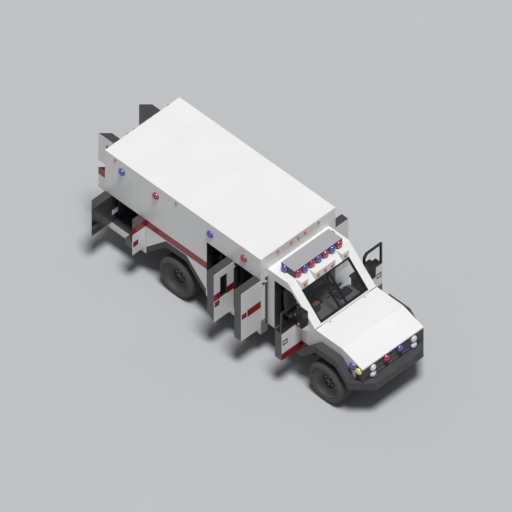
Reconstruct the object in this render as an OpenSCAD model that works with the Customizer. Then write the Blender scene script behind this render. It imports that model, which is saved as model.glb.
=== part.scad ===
// Box-bodied ambulance on a bonneted truck chassis, all doors standing open.
// Millimetres. +X forward, +Y left, +Z up, origin on the ground under the middle of the outline.

/* [Patient module] */
// Length of the patient module
module_len = 5060; // [4600:20:5600]
// Width of the patient module
module_w = 2420; // [2300:20:2600]
// Height of the module roof above the ground
roof_h = 3080; // [3000:20:3400]
// Height of the module's bottom edge
skirt_h = 660; // [600:10:720]
// Thickness of the module's walls, roof and doors
wall = 220; // [180:10:240]
// Height of the patient floor
floor_h = 1100; // [1060:10:1160]
// Height of the side door sills
sill_h = 880; // [860:5:900]
// Height of the head of the side doors
side_door_top = 2420; // [2200:20:2500]
// Height of the head of the rear doors
rear_door_top = 2860; // [2600:20:2860]
// Width of the rear doorway, hinge columns included
rear_doorway_w = 1540; // [1400:20:1640]
// Width of the entry doorway, hinge column included
entry_w = 880; // [760:20:960]
// Width of the right front locker, hinge column included
right_locker_w = 880; // [760:20:960]
// Width of the left front locker, hinge column included
left_locker_w = 660; // [560:20:760]
// Width of a rear locker, hinge columns included
rear_locker_w = 1320; // [1200:20:1400]
// Height of the head of the rear lockers
rear_locker_top = 1760; // [1600:20:1900]
// Depth of a locker behind the side wall
locker_depth = 440; // [300:20:560]
// Thickness of locker and wheel house sheet
sheet = 25; // [15:5:30]
// Distance from the module's rear face to the rear axle
rear_overhang = 2310; // [2250:10:2400]

/* [Cab and nose] */
// Width of the cab and nose
cab_w = 1980; // [1900:20:2100]
// Length of the cab, module to windshield foot
cab_len = 1540; // [1500:20:1700]
// Thickness of the cab walls, roof and doors
cab_wall = 220; // [180:10:240]
// Height of the cab roof
cab_roof_h = 2640; // [2600:10:2700]
// Length of the flat of the cab roof
cab_roof_len = 660; // [640:10:700]
// Height of the windshield foot and of the hood
belt_h = 1760; // [1700:10:1800]
// Width of a cab doorway, hinge column included
cab_door_w = 880; // [820:20:900]
// Width of a window frame bar
bar = 44; // [30:2:60]
// Depth of a window frame bar
bar_depth = 50; // [30:5:60]
// Thickness of glass
glass_t = 10; // [6:1:16]
// Length of the nose, windshield foot to grille
nose_len = 1540; // [1500:20:1700]
// Length of the flat of the hood
hood_flat = 880; // [800:20:960]
// Fall of the hood from its flat to the grille
hood_drop = 220; // [180:10:240]
// Thickness of the hood
hood_t = 40; // [40:5:60]
// Depth of the grille panel
grille_depth = 220; // [160:10:240]
// Width of the grille opening
grille_w = 1100; // [900:20:1200]

/* [Bumpers] */
// Height of the bumper top
bumper_top = 1100; // [1050:10:1150]
// Height of the bumper bar
bumper_h = 220; // [180:10:240]
// Reach of the bumper ahead of the grille
bumper_out = 220; // [160:10:280]
// Size of the bumper's cut corners
bumper_cut = 440; // [360:20:480]
// Radius of a tow eye's hole
tow_r = 20; // [15:1:25]
// Thickness of a tow eye plate
tow_t = 25; // [20:1:30]
// Reach of the rear step behind the module
step_out = 300; // [200:20:340]

/* [Running gear] */
// Distance between the axles
wheelbase = 4840; // [4600:20:5000]
// Tyre diameter
tyre_d = 1100; // [1000:20:1160]
// Tyre width
tyre_w = 440; // [360:10:460]
// Width over the tyres
over_tyres = 2480; // [2440:10:2560]
// Radius of the rim
rim_r = 390; // [340:5:400]
// Half width of a wheel arch's flat top
arch_top_half = 330; // [280:10:360]
// Height of a wheel arch's flat top
arch_h = 1320; // [1280:10:1360]
// Height of a wheel arch trim band
band = 200; // [160:5:210]
// Thickness of the rear arch trim, let into the wall
trim_t = 55; // [40:5:80]
// Distance of a kingpin from the centre line
kingpin_y = 850; // [830:5:880]
// Width over the frame rails
frame_w = 860; // [800:10:880]
// Width of a frame rail
rail_w = 70; // [60:5:80]
// Height of a frame rail
rail_h = 210; // [180:10:220]

/* [Hinges and clearances] */
// Radius of a door hinge pin
pin_r = 20; // [14:1:26]
// Depth of a pin in its bore
pin_depth = 60; // [40:5:80]
// Clearance between a pin and its bore
pin_gap = 0.1; // [0.05:0.05:0.1]
// Gap above and below a door, and at a hinge jamb
door_gap = 8; // [6:1:12]
// Gap at the free edge of a door
edge_gap = 17; // [16:1:20]
// Half the gap between two meeting leaves
meet_gap = 6; // [5:1:10]
// Gap at each side of the windshield frame
frame_gap = 0.3; // [0.2:0.1:0.6]

/* [Lamps] */
// Radius of a beacon dome
beacon_r = 98; // [80:2:110]
// Height of a beacon dome
beacon_h = 72; // [50:2:90]
// Radius of a small marker lamp
marker_r = 42; // [30:2:50]
// Height of a small marker lamp
marker_h = 26; // [16:2:34]

/* [Hidden] */
$fn = 64;
e = 1;

// Leaf lengths, from the pivot to the free edge.
rear_half = rear_doorway_w / 2 - wall / 2;
rear_long = rear_half + wall / 2 - meet_gap;
rear_short = rear_half - wall / 2 - meet_gap;
locker_mid = rear_locker_w / 2 - wall / 2;
locker_long = locker_mid + wall - meet_gap;
locker_b_out = locker_mid - meet_gap;
entry_leaf = entry_w - wall / 2 - edge_gap;
right_locker_leaf = right_locker_w - wall / 2 - edge_gap;
left_locker_leaf = left_locker_w - wall / 2 - edge_gap;
cab_leaf = cab_door_w - cab_wall / 2 - edge_gap;

// Stations along X: the outline from the rear door's edge to the bumper is centred on the origin.
front_reach = cab_len + nose_len + bumper_out;
module_x = (module_len - wall / 2 + rear_long - front_reach) / 2;
rear_x = module_x - module_len;
windshield_x = module_x + cab_len;
grille_x = windshield_x + nose_len;
bumper_x = grille_x + bumper_out;
fender_end_x = grille_x - grille_depth;
rear_axle_x = rear_x + rear_overhang;
front_axle_x = rear_axle_x + wheelbase;
entry_x = module_x - right_locker_w;
entry_rear_x = entry_x - entry_w;
locker_x = rear_x + rear_locker_w;
cab_jamb_x = module_x + cab_wall + cab_door_w;
slope_x = module_x + cab_roof_len;

// Half widths and heights.
module_y = module_w / 2;
inner_y = module_y - wall;
cab_y = cab_w / 2;
cab_inner_y = cab_y - cab_wall;
hinge_y = module_y - wall / 2;
cab_hinge_y = cab_y - cab_wall / 2;
rear_hinge_x = rear_x + wall / 2;
rear_hinge_y = rear_doorway_w / 2 - wall / 2;
axle_h = tyre_d / 2;
wheel_y = over_tyres / 2 - tyre_w / 2;
frame_top = sill_h - sheet;
ceiling_h = roof_h - wall;
rear_head = min(rear_door_top, ceiling_h);
hood_pivot_x = windshield_x + door_gap + hood_t / 2;
hood_pivot_z = belt_h - hood_t / 2;
hood_rest_h = belt_h - hood_t - door_gap;
wheelhouse_y = over_tyres / 2 - tyre_w - 2 * sheet;

// Colours.
white = [0.93, 0.93, 0.93];
dark = [0.16, 0.16, 0.17];
black = [0.05, 0.05, 0.05];
steel = [0.35, 0.36, 0.38];
grey = [0.6, 0.6, 0.62];

// ---------- helpers ----------

module block(from, to) {
    translate(from) cube(to - from);
}

// Both sides: children drawn on the left, and mirrored to the right.
module both_sides() {
    children();
    mirror([0, 1, 0]) children();
}

// An outline in X and Z, from y0 to y1.
module side_plate(points, y0, y1) {
    translate([0, y1, 0]) rotate([90, 0, 0]) linear_extrude(y1 - y0) polygon(points);
}

module pin(x, y, z0, z1, r = pin_r) {
    translate([x, y, z0]) cylinder(r = r, h = z1 - z0);
}

// A cylinder along Y.
module bar_y(x, z, y0, y1, r) {
    translate([x, y0, z]) rotate([-90, 0, 0]) cylinder(r = r, h = y1 - y0);
}

// A cylinder along X.
module bar_x(y, z, x0, x1, r) {
    translate([x0, y, z]) rotate([0, 90, 0]) cylinder(r = r, h = x1 - x0);
}

// A spherical cap along +X, base at the origin.
module dome(r, h) {
    ball = (r * r + h * h) / (2 * h);
    rotate([0, 90, 0]) rotate_extrude() intersection() {
        translate([0, h - ball]) circle(r = ball);
        square([r + e, h + e]);
    }
}

// A dome at a place, turned about Z to face away from the body.
module lamp(at, turn, r = beacon_r, h = beacon_h) {
    translate(at) rotate([0, 0, turn]) dome(r, h);
}

// A door leaf, drawn open: pivot on the Z axis, the leaf along -Y, its outer face at +X.
// long_out and long_in are the lengths of the outer and inner faces.
module leaf(long_out, long_in, z0, z1, square_corner = false, t = wall) {
    difference() {
        translate([0, 0, z0]) linear_extrude(z1 - z0) {
            circle(r = t / 2);
            polygon([[t / 2, 0], [-t / 2, 0], [-t / 2, -long_in], [t / 2, -long_out]]);
            if (square_corner) square(t / 2 - door_gap);
        }
        pin(0, 0, z0 - e, z0 + pin_depth, pin_r + pin_gap);
        pin(0, 0, z1 - pin_depth, z1 + e, pin_r + pin_gap);
    }
}

// The pins that carry a leaf, standing on a sill and hanging from a head.
module leaf_pins(x, y, z0, z1, low = e, high = e) {
    pin(x, y, z0 - low, z0 + pin_depth - 5);
    pin(x, y, z1 - pin_depth + 5, z1 + high);
}

// The latch pocket in a leaf's outer face, at a distance along the leaf.
latch_size = 150;
latch_depth = 30;
module latch_pocket(along, z, t = wall) {
    translate([t / 2 - latch_depth, -along - latch_size / 2, z - latch_size / 2])
        cube([latch_depth + e, latch_size, latch_size]);
}
module latch_button(along, z, t = wall) {
    translate([t / 2 - latch_depth - e, -along, z]) rotate([0, 90, 0]) cylinder(r = 38, h = latch_depth);
}

// A window hole through a leaf.
module window_hole(from, to, z0, z1, t = wall) {
    translate([-t, -to, z0]) cube([2 * t, to - from, z1 - z0]);
}

// ---------- chassis ----------

rail_y = frame_w / 2;
rail_front_x = fender_end_x;
rail_rear_x = rear_x + wall;
crossmember_xs = [
    rail_rear_x + 60, rear_axle_x - 700, rear_axle_x + 800, module_x - 500, windshield_x - 700
];
module chassis_frame() {
    color(dark) {
        both_sides()
            block([rail_rear_x, rail_y - rail_w, frame_top - rail_h], [rail_front_x, rail_y, frame_top]);
        for (x = crossmember_xs)
            block([x, rail_w - rail_y - e, frame_top - rail_h + 30],
                  [x + 80, rail_y - rail_w + e, frame_top - 30]);
    }
}

// A leaf spring pack under a rail, with its saddle on the axle and hangers to the rail.
spring_half = 620;
module spring_pack(x, saddle_top) {
    spring_z = frame_top - rail_h - 42;
    for (i = [0:2])
        block([x - spring_half + i * 160, rail_y - rail_w, spring_z - i * 12 - 12],
              [x + spring_half - i * 160, rail_y, spring_z - i * 12 + e]);
    block([x - 60, rail_y - rail_w, min(saddle_top - 20, spring_z - 40)],
          [x + 60, rail_y, max(saddle_top, spring_z)]);
    for (s = [-1, 1])
        block([x + s * (spring_half - 30) - 30, rail_y - rail_w, spring_z - 12],
              [x + s * (spring_half - 30) + 30, rail_y, frame_top - rail_h]);
}

spindle_r = 40;
kingpin_r = 24;
axle_beam_h = 90;
module front_axle() {
    color(dark) {
        block([front_axle_x - 50, -kingpin_y, axle_h - axle_beam_h / 2],
              [front_axle_x + 50, kingpin_y, axle_h + axle_beam_h / 2]);
        both_sides() {
            pin(front_axle_x, kingpin_y, axle_h - axle_beam_h / 2, axle_h + axle_beam_h / 2, 50);
            pin(front_axle_x, kingpin_y, axle_h - 120, axle_h + 120, kingpin_r);
            spring_pack(front_axle_x, axle_h + axle_beam_h / 2);
        }
    }
}

hub_y = wheel_y + 40;
differential_r = 170;
module rear_axle() {
    color(dark) {
        bar_y(rear_axle_x, axle_h, -wheel_y + 80, wheel_y - 80, 62);
        bar_y(rear_axle_x, axle_h, -hub_y, hub_y, spindle_r);
        translate([rear_axle_x, 0, axle_h]) sphere(r = differential_r);
        both_sides() spring_pack(rear_axle_x, axle_h + 50);
    }
}

engine_len = 900;
engine_rear_x = windshield_x + 120;
gearbox_len = 400;
engine_top = 1380;
module engine_block() {
    color(steel) {
        block([engine_rear_x, -290, frame_top - rail_h + 60], [engine_rear_x + engine_len, 290, engine_top]);
        block([engine_rear_x - gearbox_len, -130, axle_h + 20], [engine_rear_x + e, 130, frame_top - 20]);
    }
}

shaft_front_z = axle_h + 60;
module drive_shaft() {
    run_x = engine_rear_x - gearbox_len - rear_axle_x - differential_r - 1;
    rise = shaft_front_z - axle_h;
    color(steel) translate([rear_axle_x + differential_r, 0, axle_h])
        rotate([0, 90 - atan2(rise, run_x), 0]) cylinder(r = 34, h = sqrt(run_x * run_x + rise * rise));
}

tank_len = 900;
tank_w = 420;
tank_low = 480;
tank_x = module_x - 1700;
module fuel_tank() {
    color(steel) block([tank_x, rail_y, tank_low], [tank_x + tank_len, rail_y + tank_w, frame_top - 40]);
}

muffler_y = -rail_y - 190;
muffler_z = 690;
module exhaust() {
    color(steel) {
        bar_x(muffler_y, muffler_z, module_x - 1650, module_x - 750, 120);
        bar_x(muffler_y, muffler_z, rear_axle_x + 640, module_x - 1650 + e, 36);
        for (x = [module_x - 1550, module_x - 900])
            block([x, muffler_y + 60, muffler_z + 60], [x + 60, -rail_y, muffler_z + 100]);
    }
}

// ---------- wheels ----------

// Half a tyre section, revolved: radius along X, width along Y.
module tyre_section() {
    r = tyre_d / 2;
    w = tyre_w / 2;
    polygon([
        [rim_r, -w + 30], [rim_r + 25, -w], [rim_r + 70, -w], [r - 50, -w + 28], [r - 14, -w + 80],
        [r, -60], [r, 60],
        [r - 14, w - 80], [r - 50, w - 28], [rim_r + 70, w], [rim_r + 25, w], [rim_r, w - 30]
    ]);
}

// Revolved about Y, its outer side towards +Y.
module tyre_shape() {
    rotate([-90, 0, 0]) rotate_extrude($fn = 96) tyre_section();
}

dish = 150;
hub_face_r = 205;
module rim_section() {
    w = tyre_w / 2;
    polygon([
        [rim_r, -w + 30], [rim_r, w - 30], [rim_r - 14, w - 12], [rim_r - 26, w - 20],
        [rim_r - 40, w - 90], [hub_face_r, w - dish - 40], [hub_face_r - 15, w - dish],
        [spindle_r + 50, w - dish], [spindle_r + pin_gap, w - dish], [spindle_r + pin_gap, 20 - w + 150],
        [spindle_r + 60, 20 - w + 150], [spindle_r + 60, w - dish - 45],
        [hub_face_r - 10, w - dish - 75], [rim_r - 66, w - 110], [rim_r - 26, -w + 30]
    ]);
}
module rim_shape() {
    rotate([-90, 0, 0]) rotate_extrude($fn = 96) rim_section();
}

module wheel_at(x, side) {
    translate([x, side * wheel_y, axle_h]) rotate([0, 0, side > 0 ? 0 : 180]) children();
}

module tyre(x, side) {
    color(dark) wheel_at(x, side) tyre_shape();
}
module rim(x, side) {
    color([0.2, 0.2, 0.21]) wheel_at(x, side) rim_shape();
}

// A steering knuckle: a fork round the axle's end and a spindle for the wheel.
module knuckle_shape() {
    fork_z = axle_beam_h / 2 + door_gap;
    translate([front_axle_x, kingpin_y, axle_h]) difference() {
        union() {
            for (s = [-1, 1])
                translate([0, 0, s * (fork_z + 22) - 22]) cylinder(r = 55, h = 44);
            block([-55, 62, -fork_z - 44], [55, 96, fork_z + 44]);
            for (s = [-1, 1])
                block([-55, 0, s * (fork_z + 22) - 22], [55, 70, s * (fork_z + 22) + 22]);
            bar_y(0, 0, 90, hub_y - kingpin_y, spindle_r);
        }
        pin(0, 0, -200, 200, kingpin_r + pin_gap);
    }
}
module knuckle_left() {
    color(steel) knuckle_shape();
}
module knuckle_right() {
    color(steel) mirror([0, 1, 0]) knuckle_shape();
}

// ---------- bumpers ----------

module tow_eye(x, y, z) {
    translate([x, y - tow_t / 2, z]) difference() {
        block([-50, 0, -40], [50, tow_t, 70 + e]);
        bar_y(0, 0, -e, tow_t + e, tow_r);
    }
}

module front_bumper() {
    side_y = module_w / 2;
    color(dark) {
        translate([0, 0, bumper_top - bumper_h]) linear_extrude(bumper_h)
            polygon([
                [fender_end_x, -side_y], [bumper_x, -side_y + bumper_cut],
                [bumper_x, side_y - bumper_cut], [fender_end_x, side_y]
            ]);
        both_sides() {
            block([fender_end_x, rail_y - rail_w, frame_top - 80],
                  [grille_x, rail_y, bumper_top - bumper_h + e]);
            tow_eye(grille_x + 60, rail_y - rail_w / 2, bumper_top - bumper_h - 70);
        }
    }
}

module rear_step() {
    step_top = sill_h - 40;
    color(steel) {
        block([rear_x - step_out, -module_y + 330, step_top - 60], [rear_x, module_y - 330, step_top]);
        tow_eye(rear_x - step_out + 90, 0, step_top - 60 - 70);
    }
}

// ---------- nose ----------

// The front wheel arch's inner and outer edges, as X and Z points from rear to front.
front_low = arch_h - sill_h;
function arch_edge(x, top, low) = [
    [x - arch_top_half - (top - low), low], [x - arch_top_half, top],
    [x + arch_top_half, top], [x + arch_top_half + (top - low), low]
];

hood_flat_x = windshield_x + hood_flat;
function hood_z(x) = belt_h - max(0, x - hood_flat_x) * hood_drop / (nose_len - hood_flat);

module fender_shape() {
    a = arch_edge(front_axle_x, arch_h, sill_h);
    under = hood_t + door_gap;
    side_plate([
        [cab_jamb_x + door_gap, sill_h], a[0], a[1], a[2], [fender_end_x, arch_h - (fender_end_x - a[2].x)],
        [fender_end_x, hood_z(fender_end_x) - under], [hood_flat_x, belt_h - under],
        [windshield_x, belt_h - under], [windshield_x, belt_h], [cab_jamb_x + door_gap, belt_h]
    ], cab_inner_y, cab_y);
}
mirror_x = cab_jamb_x + 2 * door_gap;
mirror_depth = 205;
mirror_w = 210;
module fenders() {
    color(white) both_sides() {
        fender_shape();
        // Bracket under a mirror
        translate([mirror_x, 0, 0]) rotate([90, 0, 90]) linear_extrude(mirror_depth)
            polygon([[cab_y - e, belt_h - mirror_w], [cab_y + mirror_w, belt_h], [cab_y - e, belt_h]]);
    }
}

grille_low = bumper_top + 40;
grille_high = bumper_top + 400;
module grille_panel() {
    under = hood_t + door_gap;
    color(dark) difference() {
        side_plate([
            [fender_end_x, bumper_top], [grille_x, bumper_top],
            [grille_x, hood_z(grille_x) - under], [fender_end_x, hood_z(fender_end_x) - under]
        ], -cab_y, cab_y);
        block([fender_end_x - e, -grille_w / 2, grille_low], [grille_x + e, grille_w / 2, grille_high - 30]);
        block([fender_end_x - e, -cab_inner_y, grille_low], [grille_x - 60, cab_inner_y, grille_high + 60]);
    }
}

module grille_mesh() {
    color(black) block([grille_x - 45, -grille_w / 2, grille_low],
                       [grille_x - 15, grille_w / 2, grille_high - 30]);
}

hinge_lug_ys = [-560, 560];
lug_t = 24;
lug_r = 18;
hood_pin_r = 10;
module hood() {
    side_y = cab_y;
    color(white) difference() {
        union() {
            side_plate([
                [hood_pivot_x, belt_h], [hood_flat_x, belt_h], [grille_x, belt_h - hood_drop],
                [grille_x, belt_h - hood_drop - hood_t], [hood_flat_x, belt_h - hood_t],
                [hood_pivot_x, belt_h - hood_t]
            ], -side_y, side_y);
            bar_y(hood_pivot_x, hood_pivot_z, -side_y, side_y, hood_t / 2);
        }
        for (y = hinge_lug_ys) {
            block([hood_pivot_x - hood_t, y - lug_t / 2 - door_gap, belt_h - 2 * hood_t],
                  [hood_pivot_x + hood_t / 2 + 30, y + lug_t / 2 + door_gap, belt_h + e]);
            bar_y(hood_pivot_x, hood_pivot_z, y - 60, y + 60, hood_pin_r + pin_gap);
        }
    }
}

// ---------- cab ----------

firewall_t = 60;
module cab_floor() {
    color(dark) {
        block([module_x, -cab_y, frame_top], [windshield_x - firewall_t, cab_y, sill_h]);
        block([windshield_x - firewall_t, -cab_inner_y, frame_top],
              [windshield_x, cab_inner_y, belt_h - 90]);
    }
}

slope_rise = cab_roof_h - belt_h;
function slope_z(x) = cab_roof_h - (x - slope_x) * slope_rise / (windshield_x - slope_x);
header_x = slope_x + cab_wall;
header_z = slope_z(header_x);
pillar_drop = 90;
quarter_rail = 50;
window_head = header_z;
pillar_top_x = header_x - pillar_drop;

module cab_side() {
    door_rear_x = module_x + cab_wall;
    door_front_x = cab_jamb_x;
    side_plate([
        [module_x, sill_h], [module_x, cab_roof_h], [slope_x, cab_roof_h],
        [windshield_x, belt_h], [door_front_x - cab_wall, belt_h],
        [door_front_x - cab_wall, belt_h + quarter_rail], [door_front_x, belt_h + quarter_rail],
        [door_front_x, slope_z(door_front_x) - pillar_drop],
        [pillar_top_x, window_head], [door_rear_x, window_head], [door_rear_x, sill_h]
    ], cab_inner_y, cab_y);
}

marker_house_ys = [[-3.5, -2.5], [-1.5, 1.5], [2.5, 3.5]];
house_pitch = 220;
module cab_frame() {
    color(white) {
        both_sides() {
            cab_side();
            leaf_pins(cab_jamb_x - cab_wall / 2, cab_hinge_y, sill_h, belt_h, 0);
        }
        // Roof and header
        side_plate([
            [module_x, cab_roof_h], [slope_x, cab_roof_h], [header_x, header_z],
            [module_x, header_z]
        ], -cab_inner_y, cab_inner_y);
        on_slope() block([-40, -cab_inner_y, -36], [0, cab_inner_y, 0]);
        // Back wall
        block([module_x, -cab_inner_y, sill_h], [module_x + 50, cab_inner_y, header_z]);
        // Marker lamp housings on the header
        for (r = marker_house_ys)
            side_plate([[slope_x, cab_roof_h], [header_x, cab_roof_h], [header_x, header_z]],
                       r[0] * house_pitch, r[1] * house_pitch);
        // Cowl under the windshield and the hood's hinge lugs
        side_plate([
            [windshield_x - firewall_t, belt_h - 90], [windshield_x, belt_h - 90],
            [windshield_x, belt_h], [windshield_x - firewall_t, belt_h]
        ], -cab_inner_y, cab_inner_y);
        for (y = hinge_lug_ys) {
            block([windshield_x - e, y - lug_t / 2, hood_pivot_z - lug_r],
                  [hood_pivot_x, y + lug_t / 2, hood_pivot_z + lug_r]);
            bar_y(hood_pivot_x, hood_pivot_z, y - lug_t / 2, y + lug_t / 2, lug_r);
            bar_y(hood_pivot_x, hood_pivot_z, y - 50, y + 50, hood_pin_r);
        }
    }
}

// The windshield lies in the slope, from the header to the foot.
glass_y = cab_inner_y - frame_gap;
mullion_y = 110;
slope_angle = atan2(belt_h - header_z, windshield_x - header_x);
slope_len = norm([windshield_x - header_x, header_z - belt_h]);
// Draws children in the slope's own frame: X down the slope, Z out of it, top at the header.
module on_slope() {
    translate([header_x, 0, header_z]) rotate([0, -slope_angle, 0]) children();
}
pane_edges = [[-glass_y + bar, -mullion_y - bar / 2], [-mullion_y + bar / 2, mullion_y - bar / 2],
              [mullion_y + bar / 2, glass_y - bar]];
foot_gap = bar_depth;
module windshield_frame() {
    color(black) on_slope() difference() {
        block([0, -glass_y, -bar_depth], [slope_len - foot_gap, glass_y, 0]);
        for (p = pane_edges)
            block([bar, p[0], -bar_depth - e], [slope_len - foot_gap - bar, p[1], e]);
    }
}
module windshield() {
    color([0.3, 0.35, 0.38, 0.4]) on_slope()
        for (p = pane_edges)
            block([bar, p[0], -bar_depth / 2 - glass_t / 2],
                  [slope_len - foot_gap - bar, p[1], -bar_depth / 2 + glass_t / 2]);
}

dash_top = 1540;
dash_depth = 590;
module dashboard() {
    color(dark) difference() {
        block([windshield_x - firewall_t - dash_depth, door_gap - cab_inner_y, dash_top - 220],
              [windshield_x - firewall_t, cab_inner_y - door_gap, dash_top]);
        // Bearing of the steering column
        translate(wheel_c) rotate([0, column_tilt, 0]) cylinder(r = column_r + pin_gap, h = column_len + 8);
    }
}

seat_ys = [-440, 440];
module seat_shape() {
    block([0, -230, 0], [380, 230, 230]);
    block([-20, -250, 230], [480, 250, 370]);
    side_plate([[-120, 330], [-20, 330], [-70, 1000], [-170, 1000]], -240, 240);
    side_plate([[-168, 1000], [-72, 1000], [-88, 1180], [-168, 1180]], -140, 140);
    block([-100, -250, 230], [0, 250, 340]);
}
module cab_seats() {
    color([0.55, 0.48, 0.4]) for (y = seat_ys) translate([module_x + 330, y, sill_h]) seat_shape();
}

// The steering wheel turns on its column, whose far end lies in the dashboard's face.
wheel_c = [windshield_x - firewall_t - dash_depth - 130, 440, dash_top];
column_tilt = 118;
column_r = 20;
column_len = 220;
module steering_wheel() {
    color(dark) translate(wheel_c) rotate([0, column_tilt, 0]) {
        rotate_extrude($fn = 72) translate([190, 0]) circle(r = 15, $fn = 24);
        for (a = [90, 210, 330])
            rotate([0, 0, a]) block([30, -16, -8], [182, 16, 8]);
        cylinder(r = 45, h = 24, center = true);
        cylinder(r = column_r, h = column_len);
    }
}

mirror_lift = 440;
module mirror_shape() {
    block([mirror_x, cab_y + 10, belt_h], [mirror_x + mirror_depth, cab_y + mirror_w, belt_h + mirror_lift]);
}
module mirrors() {
    color(black) both_sides() mirror_shape();
}

bar_half_w = 770;
light_bar_depth = 440;
light_bar_h = 220;
module light_bar() {
    color(grey) block([bar_front_x - light_bar_depth, -bar_half_w, cab_roof_h],
                      [bar_front_x, bar_half_w, cab_roof_h + light_bar_h]);
}

// The window frame's outline on a cab door, shrunk by a bar's width to cut the pane.
frame_near = cab_wall / 2 + 55;
frame_drop = 60;
module leaf_frame(z0, z1, inset, t) {
    grow = inset > 0 ? e : 0;
    pivot_x = cab_jamb_x - cab_wall / 2;
    near = frame_near + inset;
    near_z = slope_z(pivot_x - frame_near) - pillar_drop - frame_drop - inset;
    cut = z1 - near_z;
    translate([t / 2 - bar_depth - grow, 0, 0]) rotate([90, 0, 90]) linear_extrude(bar_depth + 2 * grow)
        polygon([
            [inset - cab_leaf, z0], [-near, z0], [-near, near_z], [-near - cut, z1], [inset - cab_leaf, z1]
        ]);
}

module cab_door_shape() {
    z0 = sill_h + door_gap;
    z1 = belt_h - door_gap;
    frame_z = window_head - door_gap;
    t = cab_wall;
    difference() {
        union() {
            leaf(cab_leaf, cab_leaf, z0, z1, false, t);
            leaf_frame(z1 - e, frame_z, 0, t);
        }
        leaf_frame(z1 + bar, frame_z - bar, bar, t);
        latch_pocket(cab_leaf - 110, belt_h - 330, t);
    }
    latch_button(cab_leaf - 110, belt_h - 330, t);
}
module cab_door_right() {
    color(white) translate([cab_jamb_x - cab_wall / 2, -cab_hinge_y, 0]) cab_door_shape();
}
module cab_door_left() {
    color(white) mirror([0, 1, 0]) translate([cab_jamb_x - cab_wall / 2, -cab_hinge_y, 0]) cab_door_shape();
}

// ---------- arches ----------

function band_foot_z() = skirt_h + arch_half(arch_h - skirt_h) - arch_half(arch_h + band - sill_h);
function arch_half(rise) = arch_top_half + rise;
module rear_band() {
    outer = arch_edge(rear_axle_x, arch_h + band, sill_h);
    inner = arch_edge(rear_axle_x, arch_h, skirt_h);
    side_plate([
        [outer[0].x, band_foot_z()], outer[0], outer[1], outer[2], outer[3], [outer[3].x, band_foot_z()],
        inner[2], inner[1]
    ], module_y - trim_t, module_y);
}
module rear_band_recess() {
    outer = arch_edge(rear_axle_x, arch_h + band, sill_h);
    side_plate([
        [outer[0].x, skirt_h - e], outer[0], outer[1], outer[2], outer[3], [outer[3].x, skirt_h - e]
    ], module_y - trim_t, module_y + e);
}

module front_flare() {
    outer = arch_edge(front_axle_x, arch_h + band, sill_h);
    inner = arch_edge(front_axle_x, arch_h, sill_h);
    side_plate([
        outer[0], outer[1], outer[2], [fender_end_x, arch_h + band - (fender_end_x - outer[2].x)],
        [fender_end_x, arch_h - (fender_end_x - inner[2].x)], inner[2], inner[1], inner[0]
    ], cab_y, module_y);
}

module wheel_arch_trims() {
    color(dark) both_sides() {
        rear_band();
        front_flare();
    }
}

// ---------- patient module ----------

module side_wall(openings) {
    inner = arch_edge(rear_axle_x, arch_h, skirt_h);
    difference() {
        block([rear_x, inner_y, skirt_h], [module_x, module_y, ceiling_h]);
        side_plate([
            [inner[0].x, skirt_h - e], inner[0], inner[1], inner[2], inner[3], [inner[3].x, skirt_h - e]
        ], inner_y - e, module_y + e);
        rear_band_recess();
        block([rear_x - e, inner_y - e, sill_h], [locker_x + door_gap, module_y + e, rear_locker_top]);
        for (o = openings)
            block([o[0], inner_y - e, sill_h], [o[1], module_y + e, side_door_top]);
    }
    for (x = [rear_x + wall / 2, locker_x - wall / 2])
        leaf_pins(x, hinge_y, sill_h, rear_locker_top);
    leaf_pins(module_x - wall / 2, hinge_y, sill_h, side_door_top);
}

module module_side_left() {
    color(white) side_wall([[module_x - left_locker_w, module_x + e]]);
}
module module_side_right() {
    color(white) mirror([0, 1, 0]) {
        side_wall([[entry_rear_x, module_x + e]]);
        leaf_pins(entry_x - wall / 2, hinge_y, sill_h, side_door_top);
    }
}

module module_roof() {
    color(white) block([rear_x, -module_y, ceiling_h], [module_x, module_y, roof_h]);
}

module module_front_wall() {
    color(white) difference() {
        block([module_x - wall, -inner_y, sill_h], [module_x, inner_y, ceiling_h]);
        both_sides()
            block([module_x - wall - e, inner_y - door_gap, sill_h - e],
                  [module_x + e, inner_y + e, side_door_top]);
    }
}

module module_rear_wall() {
    half = rear_doorway_w / 2;
    color(white) {
        difference() {
            block([rear_x, -inner_y, skirt_h], [rear_x + wall, inner_y, ceiling_h]);
            block([rear_x - e, -half - door_gap, floor_h],
                  [rear_x + wall + e, half + door_gap, rear_head + (rear_head == ceiling_h ? e : 0)]);
            both_sides()
                block([rear_x - e, inner_y - door_gap, sill_h],
                      [rear_x + wall + e, inner_y + e, rear_locker_top]);
        }
        both_sides()
            leaf_pins(rear_hinge_x, rear_hinge_y, floor_h, rear_head, e, rear_head == ceiling_h ? 0 : e);
    }
}

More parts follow.
